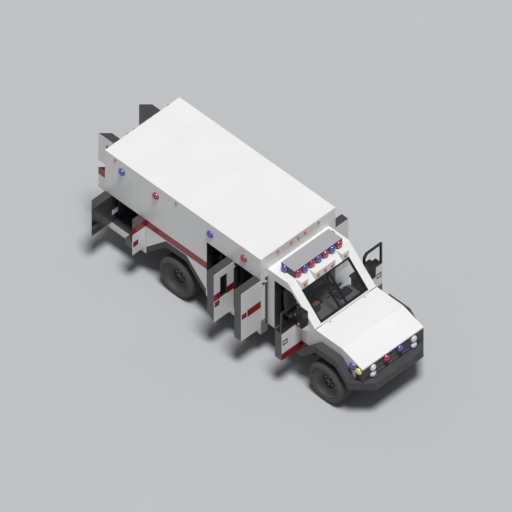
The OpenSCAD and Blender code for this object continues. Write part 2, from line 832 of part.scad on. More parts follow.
// The patient floor, with its wheel houses, the entry step and the stretcher's fixing holes.
step_depth = 320;
cot_x = -1900;
cot_dx = 640;
cot_dy = 260;
cot_hole_r = 6;
house_top = arch_h + sheet;
module wheel_house() {
    inner = arch_edge(rear_axle_x, arch_h, skirt_h);
    top = arch_edge(rear_axle_x, house_top, skirt_h);
    difference() {
        side_plate([top[0], top[1], top[2], top[3]], wheelhouse_y - sheet, inner_y);
        side_plate([
            [inner[0].x, skirt_h - e], inner[0], inner[1], inner[2], inner[3], [inner[3].x, skirt_h - e]
        ], wheelhouse_y, inner_y + e);
        block([rear_x, wheelhouse_y - 2 * sheet, skirt_h - 2 * e], [module_x, inner_y + e, frame_top]);
    }
}
module module_floor() {
    inner = arch_edge(rear_axle_x, arch_h, skirt_h);
    color([0.3, 0.3, 0.32]) {
        difference() {
            union() {
                block([rear_x + wall, -inner_y, frame_top], [module_x - wall, inner_y, floor_h]);
            }
            // Wheel house space
            both_sides() side_plate([
                [inner[0].x, skirt_h - e], inner[0], inner[1], inner[2], inner[3], [inner[3].x, skirt_h - e]
            ], wheelhouse_y, inner_y + e);
            // Entry step well
            block([entry_rear_x, -inner_y - e, sill_h], [entry_x, -inner_y + step_depth, floor_h + e]);
            // Locker wells
            block([entry_x, -inner_y - e, frame_top - e], [module_x, -inner_y + locker_depth, floor_h + e]);
            block([module_x - left_locker_w, inner_y - locker_depth, frame_top - e],
                  [module_x, inner_y + e, floor_h + e]);
            both_sides()
                block([rear_x, inner_y - locker_depth, frame_top - e], [locker_x, inner_y + e, floor_h + e]);
            for (sx = [-1, 1], sy = [-1, 1])
                pin(cot_x + sx * cot_dx / 2, sy * cot_dy / 2, floor_h - 60, floor_h + e, cot_hole_r);
        }
        both_sides() wheel_house();
    }
}

// A sheet locker open to the outside, from x0 to x1, on the left.
module locker_box(x0, x1, top) {
    difference() {
        block([x0, inner_y - locker_depth, frame_top], [x1, inner_y - door_gap, top]);
        block([x0 + sheet, inner_y - locker_depth + sheet, sill_h], [x1 - sheet, inner_y + e, top - sheet]);
    }
}
module lockers() {
    color(dark) {
        both_sides() locker_box(rear_x + wall + door_gap, locker_x, rear_locker_top + sheet);
        locker_box(module_x - left_locker_w, module_x - wall, side_door_top + sheet);
        mirror([0, 1, 0]) locker_box(entry_x, module_x - wall, side_door_top + sheet);
    }
}

bench_x = locker_x;
bench_len = entry_rear_x - 200 - bench_x;
module patient_bench() {
    color([0.2, 0.28, 0.4]) {
        block([bench_x, -inner_y + 0, house_top], [bench_x + bench_len, -inner_y + 520, house_top + 180]);
        block([bench_x, -inner_y + 460, floor_h], [bench_x + bench_len, -inner_y + 520, house_top + e]);
        block([bench_x, -inner_y, house_top + 180 - e],
              [bench_x + bench_len, -inner_y + 90, house_top + 640]);
    }
}

cabinet_depth = 380;
cabinet_x0 = locker_x + 60;
cabinet_x1 = module_x - left_locker_w - 60;
module wall_cabinet() {
    low = rear_locker_top + 140;
    color([0.75, 0.76, 0.78]) difference() {
        block([cabinet_x0, inner_y - cabinet_depth, low], [cabinet_x1, inner_y, ceiling_h]);
        for (i = [0:2]) {
            bay = (cabinet_x1 - cabinet_x0 - 4 * sheet) / 3;
            x = cabinet_x0 + sheet + i * (bay + sheet);
            block([x, inner_y - cabinet_depth - e, low + sheet],
                  [x + bay, inner_y - sheet, ceiling_h - sheet]);
        }
    }
}

// ---------- module doors ----------

module entry_shape() {
    z0 = sill_h + door_gap;
    z1 = side_door_top - door_gap;
    difference() {
        leaf(entry_leaf, entry_leaf, z0, z1);
        window_hole(window_from, window_to, window_low, window_high);
        latch_pocket(entry_leaf - 100, latch_h);
        // Bevel under the inner edge, which clears the step
        translate([0, -entry_leaf - e, 0]) rotate([-90, 0, 0]) linear_extrude(entry_leaf - wall / 2)
            polygon([[wall / 2 + e, -z0 + e], [-wall / 2 - e, -z0 + e], [-wall / 2 - e, -z0 - wall]]);
    }
    latch_button(entry_leaf - 100, latch_h);
}
window_from = 330;
window_to = 550;
window_low = 1540;
window_high = 2200;
latch_h = 1430;
glass_edge = 6;
module entry_door() {
    color(white) translate([entry_x - wall / 2, -hinge_y, 0]) entry_shape();
}
module pane_in(from, to, low, high) {
    translate([0, 0, 0])
        block([wall / 2 - 30 - glass_t, -to, low], [wall / 2 - 30, -from, high]);
}
module entry_window() {
    color(black) translate([entry_x - wall / 2, -hinge_y, 0])
        pane_in(window_from, window_to, window_low, window_high);
}

module front_locker_door(len) {
    z0 = sill_h + door_gap;
    z1 = side_door_top - door_gap;
    difference() {
        leaf(len, len, z0, z1, true);
        latch_pocket(len - 100, latch_h + 220);
    }
    latch_button(len - 100, latch_h + 220);
}
module front_locker_door_right() {
    color(white) translate([module_x - wall / 2, -hinge_y, 0]) front_locker_door(right_locker_leaf);
}
module front_locker_door_left() {
    color(white) mirror([0, 1, 0])
        translate([module_x - wall / 2, -hinge_y, 0]) front_locker_door(left_locker_leaf);
}

// The two leaves of a rear locker meet on a 45 degree mitre.
// The front leaf's latch block is square, and the rear leaf is notched round it.
latch_block = [1100, 1320];
module rear_locker_front_leaf() {
    z0 = sill_h + door_gap;
    z1 = rear_locker_top - door_gap;
    mid_z = (latch_block[0] + latch_block[1]) / 2;
    difference() {
        union() {
            leaf(locker_b_out, locker_b_out - wall, z0, z1);
            block([-wall / 2, -locker_b_out, latch_block[0]], [wall / 2, -wall / 2, latch_block[1]]);
        }
        latch_pocket(locker_b_out - 110, mid_z);
    }
    latch_button(locker_b_out - 110, mid_z);
}
module rear_locker_rear_leaf() {
    z0 = sill_h + door_gap;
    z1 = rear_locker_top - door_gap;
    difference() {
        leaf(locker_mid - meet_gap, locker_mid + wall - meet_gap, z0, z1, true);
        block([-wall, -locker_mid - 2 * wall, latch_block[0] - door_gap],
              [wall, meet_gap * 2 - locker_mid, latch_block[1] + door_gap]);
    }
}
module rear_locker_door_a_right() {
    color(white) translate([locker_x - wall / 2, -hinge_y, 0]) rear_locker_front_leaf();
}
module rear_locker_door_b_right() {
    color(white) translate([rear_x + wall / 2, -hinge_y, 0]) mirror([1, 0, 0]) rear_locker_rear_leaf();
}
module rear_locker_door_a_left() {
    color(white) mirror([0, 1, 0]) translate([locker_x - wall / 2, -hinge_y, 0]) rear_locker_front_leaf();
}
module rear_locker_door_b_left() {
    color(white) mirror([0, 1, 0])
        translate([rear_x + wall / 2, -hinge_y, 0]) mirror([1, 0, 0]) rear_locker_rear_leaf();
}

// Rear doors: the right leaf overlaps outside, the left one inside, with a square latch block.
rear_latch = [1760, 1980];
rear_window_low = 2000;
rear_window_high = 2640;
module rear_leaf_right() {
    z0 = floor_h + door_gap;
    z1 = rear_head - door_gap;
    difference() {
        leaf(rear_long, rear_long - wall, z0, z1);
        block([-wall, -rear_long - e, rear_latch[0] - door_gap],
              [wall, wall - rear_long, rear_latch[1] + door_gap]);
        window_hole(window_from, window_to - 40, rear_window_low + 20, rear_window_high);
    }
}
module rear_leaf_left() {
    z0 = floor_h + door_gap;
    z1 = rear_head - door_gap;
    mid_z = (rear_latch[0] + rear_latch[1]) / 2;
    difference() {
        union() {
            leaf(rear_short, rear_short + wall, z0, z1);
            block([-wall / 2, -rear_short - wall, rear_latch[0]], [wall / 2, -wall / 2, rear_latch[1]]);
        }
        latch_pocket(rear_short + wall - 110, mid_z);
        window_hole(rear_short - 300, rear_short - 90, rear_window_low + 20, rear_window_high);
    }
    latch_button(rear_short + wall - 110, mid_z);
}
module rear_door_right() {
    color(white) translate([rear_hinge_x, -rear_hinge_y, 0]) rotate([0, 0, -90]) rear_leaf_right();
}
module rear_door_left() {
    color(white) mirror([0, 1, 0])
        translate([rear_hinge_x, -rear_hinge_y, 0]) rotate([0, 0, -90]) rear_leaf_left();
}
module rear_window_right() {
    color(black) translate([rear_hinge_x, -rear_hinge_y, 0]) rotate([0, 0, -90])
        pane_in(window_from, window_to - 40, rear_window_low + 20, rear_window_high);
}
module rear_window_left() {
    color(black) mirror([0, 1, 0]) translate([rear_hinge_x, -rear_hinge_y, 0]) rotate([0, 0, -90])
        pane_in(rear_short - 300, rear_short - 90, rear_window_low + 20, rear_window_high);
}

// ---------- lamps ----------

pitch = 220;
beacon_z = ceiling_h - 110;
edge_z = ceiling_h + 110;
bar_z = cab_roof_h + 110;
nose_z = bumper_top + 290;
nose_side_z = bumper_top + 325;
nose_r = 92;
side_beacon_xs = [rear_x + 550, rear_x + 1650, module_x - 1650, module_x - 550];
bar_front_x = module_x + 660;

module red_beacons() {
    color([0.7, 0.15, 0.2]) {
        for (y = [-4, -2, 0, 2]) lamp([rear_x, y * pitch, edge_z], 180);
        for (i = [1, 3]) lamp([side_beacon_xs[i], -module_y, beacon_z], -90);
        for (i = [0, 2]) lamp([side_beacon_xs[i], module_y, beacon_z], 90);
        for (y = [-3, -1, 1, 3]) lamp([bar_front_x, y * pitch, bar_z], 0);
        lamp([module_x + 330, bar_half_w, bar_z], 90);
        lamp([grille_x, -pitch, nose_z], 0, nose_r);
        lamp([fender_end_x - 110, cab_y, nose_side_z], 90);
        for (s = [-1, 1]) lamp([rear_x, s * 4 * pitch, rear_locker_top + 110], 180);
    }
}
module blue_beacons() {
    color([0.2, 0.25, 0.7]) {
        for (y = [-1, 1, 4]) lamp([rear_x, y * pitch, edge_z], 180);
        for (i = [0, 2]) lamp([side_beacon_xs[i], -module_y, beacon_z], -90);
        for (i = [1, 3]) lamp([side_beacon_xs[i], module_y, beacon_z], 90);
        for (y = [-2, 0, 2]) lamp([bar_front_x, y * pitch, bar_z], 0);
        lamp([module_x + 330, -bar_half_w, bar_z], -90);
        lamp([grille_x, pitch, nose_z], 0, nose_r);
        lamp([fender_end_x - 110, -cab_y, nose_side_z], -90);
    }
}
marker_ys = [-3, -1, 0, 1, 3];
side_marker_xs = [rear_x + 330, rear_axle_x];
module amber_lamps() {
    color([0.9, 0.5, 0.1]) {
        for (y = marker_ys) {
            lamp([module_x, y * pitch, edge_z], 0, marker_r, marker_h);
            lamp([header_x, y * pitch, cab_roof_h - 110], 0, marker_r, marker_h);
        }
        for (x = side_marker_xs) {
            lamp([x, module_y, edge_z], 90, marker_r, marker_h);
            lamp([x, -module_y, edge_z], -90, marker_r, marker_h);
        }
        both_sides() {
            lamp([fender_end_x + 110, cab_y, nose_side_z - 5], 90, nose_r);
            lamp([mirror_x + mirror_depth / 2, cab_y + mirror_w, belt_h + 100], 90, marker_r, marker_h);
            lamp([rear_x, 5 * pitch, rear_locker_top + 130], 180);
        }
    }
}
module headlamps() {
    color([0.9, 0.9, 0.95]) for (s = [-1, 1], z = [nose_z - 2 * nose_r - 10, nose_z])
        lamp([grille_x, s * 3 * pitch, z], 0, nose_r);
}

// ---------- the nodes ----------

chassis_frame();
front_axle();
rear_axle();
drive_shaft();
engine_block();
fuel_tank();
exhaust();
front_bumper();
rear_step();
fenders();
grille_panel();
grille_mesh();
cab_floor();
cab_frame();
windshield_frame();
windshield();
wheel_arch_trims();
dashboard();
cab_seats();
mirrors();
light_bar();
module_floor();
module_roof();
module_side_left();
module_side_right();
module_front_wall();
module_rear_wall();
lockers();
patient_bench();
wall_cabinet();
red_beacons();
blue_beacons();
amber_lamps();
headlamps();
knuckle_left();
knuckle_right();
tyre(front_axle_x, 1);  // tyre_front_left
tyre(front_axle_x, -1);  // tyre_front_right
tyre(rear_axle_x, 1);  // tyre_rear_left
tyre(rear_axle_x, -1);  // tyre_rear_right
rim(front_axle_x, 1);  // rim_front_left
rim(front_axle_x, -1);  // rim_front_right
rim(rear_axle_x, 1);  // rim_rear_left
rim(rear_axle_x, -1);  // rim_rear_right
steering_wheel();
hood();
cab_door_left();
cab_door_right();
entry_door();
entry_window();
front_locker_door_left();
front_locker_door_right();
rear_locker_door_a_left();
rear_locker_door_b_left();
rear_locker_door_a_right();
rear_locker_door_b_right();
rear_door_left();
rear_door_right();
rear_window_left();
rear_window_right();
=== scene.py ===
import math

import bmesh
import bpy
from mathutils import Matrix, Vector


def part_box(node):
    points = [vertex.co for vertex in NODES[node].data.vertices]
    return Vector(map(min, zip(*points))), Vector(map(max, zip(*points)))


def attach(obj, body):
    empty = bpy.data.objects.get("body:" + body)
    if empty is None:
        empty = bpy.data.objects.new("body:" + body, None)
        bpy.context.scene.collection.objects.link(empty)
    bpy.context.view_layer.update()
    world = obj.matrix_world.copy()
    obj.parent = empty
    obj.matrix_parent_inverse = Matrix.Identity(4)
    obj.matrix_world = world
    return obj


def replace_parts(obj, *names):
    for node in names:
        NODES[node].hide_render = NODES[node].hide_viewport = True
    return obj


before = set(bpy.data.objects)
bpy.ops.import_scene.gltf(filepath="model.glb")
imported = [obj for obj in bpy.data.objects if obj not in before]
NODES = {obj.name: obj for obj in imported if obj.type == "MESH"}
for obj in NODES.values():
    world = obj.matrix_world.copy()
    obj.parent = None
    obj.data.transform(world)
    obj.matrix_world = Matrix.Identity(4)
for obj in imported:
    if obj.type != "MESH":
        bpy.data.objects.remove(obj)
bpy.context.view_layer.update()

# ---------------------------------------------------------------- places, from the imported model
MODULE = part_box("module_roof")
FRONT_X, REAR_X = MODULE[1].x, MODULE[0].x
SIDE_Y, ROOF_Z, CEILING_Z = MODULE[1].y, MODULE[1].z, MODULE[0].z
CELL = 0.22  # one panel course
SKIN = 0.004  # depth of an outer face's colour
CAB_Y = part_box("hood")[1].y
BELT_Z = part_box("hood")[1].z
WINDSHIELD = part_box("windshield_frame")
SLOPE_SUM = WINDSHIELD[0].x + WINDSHIELD[1].z  # x + z all over the sloping windshield's plane
BAR_TOP_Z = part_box("light_bar")[1].z
SIDES = (("left", 1), ("right", -1))
X, Y, Z = Vector((1, 0, 0)), Vector((0, 1, 0)), Vector((0, 0, 1))


def level(cells):
    """Height of a whole number of panel courses above the ground."""
    return cells * CELL


def along(cells):
    """X of a number of panel courses from the module's front face."""
    return FRONT_X + cells * CELL


STRIPE_Z = (level(7), level(8))

# ---------------------------------------------------------------- materials
WHITE = (0.80, 0.80, 0.79)
DARK = (0.052, 0.053, 0.055)
RED = (0.30, 0.004, 0.006)
GUARD = (0.24, 0.24, 0.245)
BLACK = (0.007, 0.007, 0.008)
PAINT_ROUGH = 0.32
GRIME_Z = (0.6, 1.25)  # road dirt fades out between these heights


class Shader:
    """A node material with object-space coordinates, which stay with the mesh as its body moves."""

    def __init__(self, name, roughness, metallic=0.0, coat=0.0, sheen=0.0, transmission=0.0, alpha=1.0):
        self.mat = bpy.data.materials.new(name)
        self.mat.use_nodes = True
        self.tree = self.mat.node_tree
        self.bsdf = self.tree.nodes["Principled BSDF"]
        values = {"Roughness": roughness, "Metallic": metallic, "Coat Weight": coat, "Sheen Weight": sheen,
                  "Transmission Weight": transmission, "Alpha": alpha, "IOR": 1.5}
        for key, value in values.items():
            self.bsdf.inputs[key].default_value = value
        self.object = self.node("ShaderNodeTexCoord").outputs["Object"]
        self.axes = {}

    def node(self, kind, **settings):
        made = self.tree.nodes.new(kind)
        for key, value in settings.items():
            setattr(made, key, value)
        return made

    def put(self, socket, value):
        if hasattr(value, "links"):
            self.tree.links.new(value, socket)
        elif isinstance(value, tuple) and len(value) == 3 and socket.type == "RGBA":
            socket.default_value = (*value, 1)
        else:
            socket.default_value = value

    def math(self, operation, *values):
        made = self.node("ShaderNodeMath", operation=operation)
        for i, value in enumerate(values):
            self.put(made.inputs[i], value)
        return made.outputs[0]

    def axis(self, key):
        """x, y, z, the absolute ay, or the sum xz."""
        if not self.axes:
            split = self.node("ShaderNodeSeparateXYZ")
            self.put(split.inputs[0], self.object)
            self.axes = dict(zip("xyz", split.outputs))
        if key not in self.axes:
            if key == "ay":
                self.axes[key] = self.math("ABSOLUTE", self.axes["y"])
            else:
                self.axes[key] = self.math("ADD", self.axes["x"], self.axes["z"])
        return self.axes[key]

    def inside(self, region):
        """1 inside all of a region's ranges, such as {"x": (low, high)}."""
        total = None
        for key, (low, high) in region.items():
            one = self.math("COMPARE", self.axis(key), (low + high) / 2, (high - low) / 2)
            total = one if total is None else self.math("MULTIPLY", total, one)
        return total

    def noise(self, scale, detail=3.0, stretch=None, rough=0.5):
        made = self.node("ShaderNodeTexNoise")
        vector = self.object
        if stretch:
            mapping = self.node("ShaderNodeMapping")
            mapping.inputs["Scale"].default_value = stretch
            self.put(mapping.inputs["Vector"], vector)
            vector = mapping.outputs[0]
        self.put(made.inputs["Vector"], vector)
        made.inputs["Scale"].default_value = scale
        made.inputs["Detail"].default_value = detail
        made.inputs["Roughness"].default_value = rough
        return made.outputs["Fac"]

    def remap(self, value, low, high, to_low=0.0, to_high=1.0):
        made = self.node("ShaderNodeMapRange")
        for i, item in enumerate((value, low, high, to_low, to_high)):
            self.put(made.inputs[i], item)
        return made.outputs[0]

    def mix(self, factor, a, b):
        made = self.node("ShaderNodeMix", data_type="RGBA")
        self.put(made.inputs[0], factor)
        self.put(made.inputs[6], a)
        self.put(made.inputs[7], b)
        return made.outputs[2]

    def layered(self, out, layers):
        """Each layer, (colour, [regions]), laid over the colour so far."""
        for colour, regions in layers:
            for region in regions:
                out = self.mix(self.inside(region), out, colour)
        return out

    def colour(self, value):
        self.put(self.bsdf.inputs["Base Color"], value)

    def roughness(self, value):
        self.put(self.bsdf.inputs["Roughness"], value)

    def bump(self, height, strength=0.2, distance=0.002):
        made = self.node("ShaderNodeBump")
        made.inputs["Strength"].default_value = strength
        made.inputs["Distance"].default_value = distance
        self.put(made.inputs["Height"], height)
        self.put(self.bsdf.inputs["Normal"], made.outputs[0])


def scaled(colour, k):
    return tuple(min(1.0, c * k) for c in colour)


def paint(name, base, layers=()):
    """Gloss paint over sheet metal, dirtier low down; later layers cover earlier ones."""
    s = Shader(name, roughness=PAINT_ROUGH, coat=0.35)
    cloud = s.noise(1.3, 4)
    out = s.layered(s.mix(s.remap(cloud, 0.3, 0.7), scaled(base, 0.965), base), layers)
    low = s.remap(s.axis("z"), *GRIME_Z, 1.0, 0.0)
    specks = s.remap(s.noise(34, 6, rough=0.7), 0.46, 0.66)
    out = s.mix(s.math("MULTIPLY", s.math("MULTIPLY", low, specks), 0.55), out, (0.16, 0.14, 0.115))
    streak = s.remap(s.noise(9, 3, stretch=(3.5, 3.5, 0.25)), 0.52, 0.78)
    out = s.mix(s.math("MULTIPLY", streak, 0.07), out, (0.3, 0.28, 0.25))
    s.colour(out)
    s.roughness(s.remap(s.noise(5, 5), 0.3, 0.7, PAINT_ROUGH - 0.06, PAINT_ROUGH + 0.1))
    dents = s.math("MULTIPLY", s.noise(1.7, 2), 2.0)
    peel = s.math("MULTIPLY", s.noise(160, 2), 0.08)
    s.bump(s.math("ADD", dents, peel), 0.06, 0.004)
    return s.mat


def plastic(name, base, rough=0.55, grain=420, layers=(), strength=0.25, coat=0.0):
    """Moulded plastic or powder coat with a fine grain."""
    s = Shader(name, roughness=rough, coat=coat)
    out = s.layered(s.mix(s.remap(s.noise(3, 5), 0.3, 0.7), scaled(base, 0.85), scaled(base, 1.12)), layers)
    dust = s.remap(s.noise(55, 5, rough=0.75), 0.55, 0.8)
    out = s.mix(s.math("MULTIPLY", dust, 0.18), out, scaled(base, 2.2))
    s.colour(out)
    s.roughness(s.remap(s.noise(9, 4), 0.3, 0.7, rough - 0.07, rough + 0.12))
    s.bump(s.noise(grain, 3), strength, 0.0008)
    return s.mat


def metal(name, base, rough, stretch=(1, 1, 1)):
    """Bare metal with fine scratches and a few stains."""
    s = Shader(name, roughness=rough, metallic=1.0)
    out = s.mix(s.remap(s.noise(4, 5), 0.35, 0.65), scaled(base, 0.8), base)
    stain = s.remap(s.noise(17, 6, rough=0.7), 0.56, 0.75)
    out = s.mix(s.math("MULTIPLY", stain, 0.35), out, (0.1, 0.075, 0.055))
    s.colour(out)
    s.roughness(s.remap(s.noise(220, 2, stretch=stretch), 0.3, 0.7, rough - 0.1, rough + 0.15))
    s.bump(s.noise(220, 2, stretch=stretch), 0.12, 0.0006)
    return s.mat


def lens(name, base, glow):
    """A moulded lens: gloss plastic with fine flutes in the surface."""
    s = Shader(name, roughness=0.12, coat=0.6, transmission=0.15)
    s.colour(s.mix(s.remap(s.noise(14, 3), 0.3, 0.7), scaled(base, 0.8), scaled(base, 1.15)))
    wave = s.node("ShaderNodeTexWave")
    s.put(wave.inputs["Vector"], s.object)
    wave.inputs["Scale"].default_value = 60
    wave.inputs["Distortion"].default_value = 1.0
    s.bump(wave.outputs["Fac"], 0.12, 0.001)
    s.bsdf.inputs["Emission Color"].default_value = (*base, 1)
    s.bsdf.inputs["Emission Strength"].default_value = glow
    return s.mat


def rubber(name, base=(0.062, 0.062, 0.063)):
    s = Shader(name, roughness=0.78)
    dust = s.remap(s.noise(22, 6, rough=0.7), 0.42, 0.75)
    out = s.mix(s.math("MULTIPLY", dust, 0.35), base, (0.13, 0.125, 0.115))
    s.colour(out)
    s.bump(s.math("ADD", s.noise(260, 3), s.math("MULTIPLY", s.noise(30, 4), 0.6)), 0.3, 0.0012)
    return s.mat


def weave(name, base):
    """Woven cloth: two crossed threads, with lint and wear."""
    s = Shader(name, roughness=0.9, sheen=0.3)
    threads = []
    for direction in ("X", "Y"):
        wave = s.node("ShaderNodeTexWave", bands_direction=direction)
        s.put(wave.inputs["Vector"], s.object)
        wave.inputs["Scale"].default_value = 330
        wave.inputs["Distortion"].default_value = 0.4
        threads.append(wave.outputs["Fac"])
    cross = s.math("MULTIPLY", threads[0], threads[1])
    worn = s.remap(s.noise(6, 5), 0.35, 0.7)
    between = s.mix(worn, scaled(base, 0.72), scaled(base, 0.9))
    s.colour(s.mix(cross, between, s.mix(worn, base, scaled(base, 1.15))))
    s.bump(s.math("ADD", cross, s.math("MULTIPLY", s.noise(80, 4), 0.5)), 0.35, 0.0009)
    return s.mat


def leather(name, base):
    s = Shader(name, roughness=0.42, coat=0.1)
    cells = s.node("ShaderNodeTexVoronoi", feature="DISTANCE_TO_EDGE")
    s.put(cells.inputs["Vector"], s.object)
    cells.inputs["Scale"].default_value = 240
    crease = s.remap(cells.outputs["Distance"], 0.0, 0.12)
    hide = s.mix(s.remap(s.noise(5, 4), 0.3, 0.7), base, scaled(base, 1.25))
    s.colour(s.mix(crease, scaled(base, 0.6), hide))
    s.bump(crease, 0.3, 0.0008)
    return s.mat


def tread_plate(name, base):
    """Aluminium plate with raised lozenges."""
    s = Shader(name, roughness=0.36, metallic=0.85)
    marks = []
    for way in (1, -1):
        mapping = s.node("ShaderNodeMapping")
        mapping.inputs["Rotation"].default_value = (0, 0, way * math.radians(45))
        mapping.inputs["Scale"].default_value = (1, 2.6, 1)
        s.put(mapping.inputs["Vector"], s.object)
        cells = s.node("ShaderNodeTexVoronoi")
        cells.inputs["Scale"].default_value = 22
        cells.inputs["Randomness"].default_value = 0.0
        s.put(cells.inputs["Vector"], mapping.outputs[0])
        marks.append(s.remap(cells.outputs["Distance"], 0.16, 0.24, 1.0, 0.0))
    raised = s.math("MAXIMUM", *marks)
    ground = s.mix(s.remap(s.noise(12, 6), 0.4, 0.7), base, scaled(base, 0.55))
    s.colour(s.mix(raised, ground, scaled(base, 1.3)))
    s.bump(raised, 0.7, 0.003)
    return s.mat


def glass(name, tint, alpha):
    s = Shader(name, roughness=0.05, alpha=alpha, coat=0.5)
    s.colour(s.mix(s.remap(s.noise(3, 4), 0.4, 0.65), tint, scaled(tint, 1.15)))
    s.roughness(s.remap(s.noise(40, 5), 0.4, 0.75, 0.03, 0.14))
    s.mat.surface_render_method = "BLENDED"
    return s.mat


BIG = 9.0  # past the whole vehicle
full_stripe = {"z": STRIPE_Z}
cab_stripe = {"z": (level(4), level(5))}
side_face = {"ay": (SIDE_Y - SKIN, BIG)}
front_face = {"x": (FRONT_X - SKIN, BIG)}
rear_face = {"x": (-BIG, REAR_X + SKIN)}
front_guard = {**front_face, "z": (0.0, level(5))}
guard_zone = {**front_guard, "ay": (SIDE_Y - CELL - 0.01, SIDE_Y + 0.01)}
mats = {
    "dark": plastic("dark_moulding", DARK),
    "black": plastic("black_moulding", BLACK, rough=0.5),
    "chassis": plastic("chassis_paint", (0.018, 0.018, 0.02), rough=0.5, grain=120),
    "steel": metal("plain_steel", (0.42, 0.42, 0.44), 0.42),
    "alu": metal("mill_aluminium", (0.62, 0.63, 0.65), 0.33, stretch=(1, 12, 1)),
    "chrome": metal("bright_metal", (0.75, 0.76, 0.78), 0.14),
    "plate": tread_plate("tread_plate", (0.34, 0.35, 0.36)),
    "tyre": rubber("tyre_rubber"),
    "seal": rubber("door_seal", (0.015, 0.015, 0.016)),
    "wheel": plastic("wheel_paint", (0.082, 0.082, 0.084), rough=0.45, grain=200, coat=0.1),
    "silver": plastic("silver_paint", (0.52, 0.52, 0.53), rough=0.34, grain=200, strength=0.1, coat=0.2),
    # painted light: the dashboard is the same dark plastic as the other mouldings, painted lighter here to
    # make up for the light that the windshield keeps out of the cab
    "dash": plastic("dash_moulding_painted_lighter", (0.095, 0.096, 0.10), rough=0.6, grain=300),
    "wire": plastic("grille_wire", (0.17, 0.17, 0.175), rough=0.5, grain=300),
    "hub": plastic("hub_paint", (0.022, 0.022, 0.023), rough=0.45, grain=200),
    "red": lens("red_lens", (0.42, 0.035, 0.07), 0.12),
    "blue": lens("blue_lens", (0.075, 0.10, 0.40), 0.12),
    "amber": lens("amber_lens", (0.70, 0.13, 0.008), 0.1),
    "yellow": lens("yellow_lens", (0.80, 0.72, 0.22), 0.1),
    "clear": lens("clear_lens", (0.66, 0.67, 0.80), 0.1),
    "button": plastic("red_button", (0.55, 0.01, 0.01), rough=0.3, grain=100, strength=0.05, coat=0.4),
    "white": paint("white_enamel", WHITE),
    "seat": weave("seat_cloth", (0.26, 0.19, 0.145)),
    "vinyl": leather("bench_vinyl", (0.05, 0.085, 0.19)),
    "floor": plastic("floor_sheet", (0.075, 0.077, 0.08), rough=0.6, grain=90, strength=0.4),
    "cabinet": plastic("cabinet_laminate", (0.42, 0.43, 0.45), rough=0.4, grain=260, strength=0.1),
    "glass": glass("clear_glass", (0.10, 0.12, 0.13), 0.07),
    "dark_glass": glass("black_glass", (0.012, 0.013, 0.015), 0.94),
    "mirror": metal("mirror_glass", (0.8, 0.82, 0.84), 0.05),
    "bar": plastic("bar_housing", DARK, layers=[((0.36, 0.36, 0.37), [{"z": (BAR_TOP_Z - SKIN, BIG)}])]),
    "shell_side": paint("module_sides", DARK, [
        (WHITE, [side_face, front_face, rear_face]),
        (RED, [{**full_stripe, "x": (along(-17), along(-8)), **side_face}]),
        (GUARD, [guard_zone]),
    ]),
    "shell_roof": paint("module_roof", WHITE, [
        (DARK, [{"z": (0, CEILING_Z + SKIN / 2), "ay": (0, SIDE_Y - CELL)}]),
    ]),
    "shell_front": paint("module_front", DARK, [(WHITE, [front_face]), (GUARD, [front_guard])]),
    "shell_rear": paint("module_rear", DARK, [(WHITE, [rear_face])]),
    "cab": paint("cab_body", WHITE, [
        (DARK, [{"ay": (0, CAB_Y - SKIN), "z": (0, WINDSHIELD[1].z + 0.01), "xz": (0, SLOPE_SUM - 0.03)}]),
    ]),
    "nose": paint("nose_sides", WHITE, [
        (DARK, [{"ay": (0, CAB_Y - SKIN)}]),
        (RED, [{**cab_stripe, "x": (along(5) - 0.02, along(6)), "ay": (CAB_Y - SKIN, CAB_Y + SKIN)}]),
    ]),
    "hood": paint("hood_panel", WHITE),
}


def door_paint(name, outside, striped, extra=()):
    """Dark leaf with a white outer skin; outside is the skin's range, striped its red bands."""
    return paint(name, DARK, [(WHITE, [outside]), (RED, [{**outside, **s} for s in striped]), *extra])


def front_skin(node):
    """The outer face of a leaf that stands open across the vehicle."""
    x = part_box(node)[1].x
    return {"x": (x - SKIN, x + SKIN)}


def clad(node, material):
    """Gives a kept CAD node its material, by its name in mats or as itself."""
    obj = NODES[node]
    obj.data.materials.clear()
    obj.data.materials.append(mats[material] if isinstance(material, str) else material)


for node, material in {
    "chassis_frame": "chassis", "front_axle": "chassis", "rear_axle": "chassis", "drive_shaft": "steel",
    "engine_block": "steel", "fuel_tank": "alu", "exhaust": "steel", "front_bumper": "dark",
    "rear_step": "plate", "fenders": "nose", "grille_panel": "dark", "cab_floor": "floor",
    "cab_frame": "cab", "windshield_frame": "black", "windshield": "glass", "wheel_arch_trims": "dark",
    "dashboard": "dash", "mirrors": "black", "light_bar": "bar", "module_floor": "floor",
    "module_roof": "shell_roof", "module_side_left": "shell_side", "module_side_right": "shell_side",
    "module_front_wall": "shell_front", "module_rear_wall": "shell_rear", "lockers": "dark",
    "wall_cabinet": "cabinet", "knuckle_left": "chassis", "knuckle_right": "chassis",
    "steering_wheel": "black", "hood": "hood", "entry_window": "dark_glass",
    "rear_window_left": "dark_glass", "rear_window_right": "dark_glass",
}.items():
    clad(node, material)

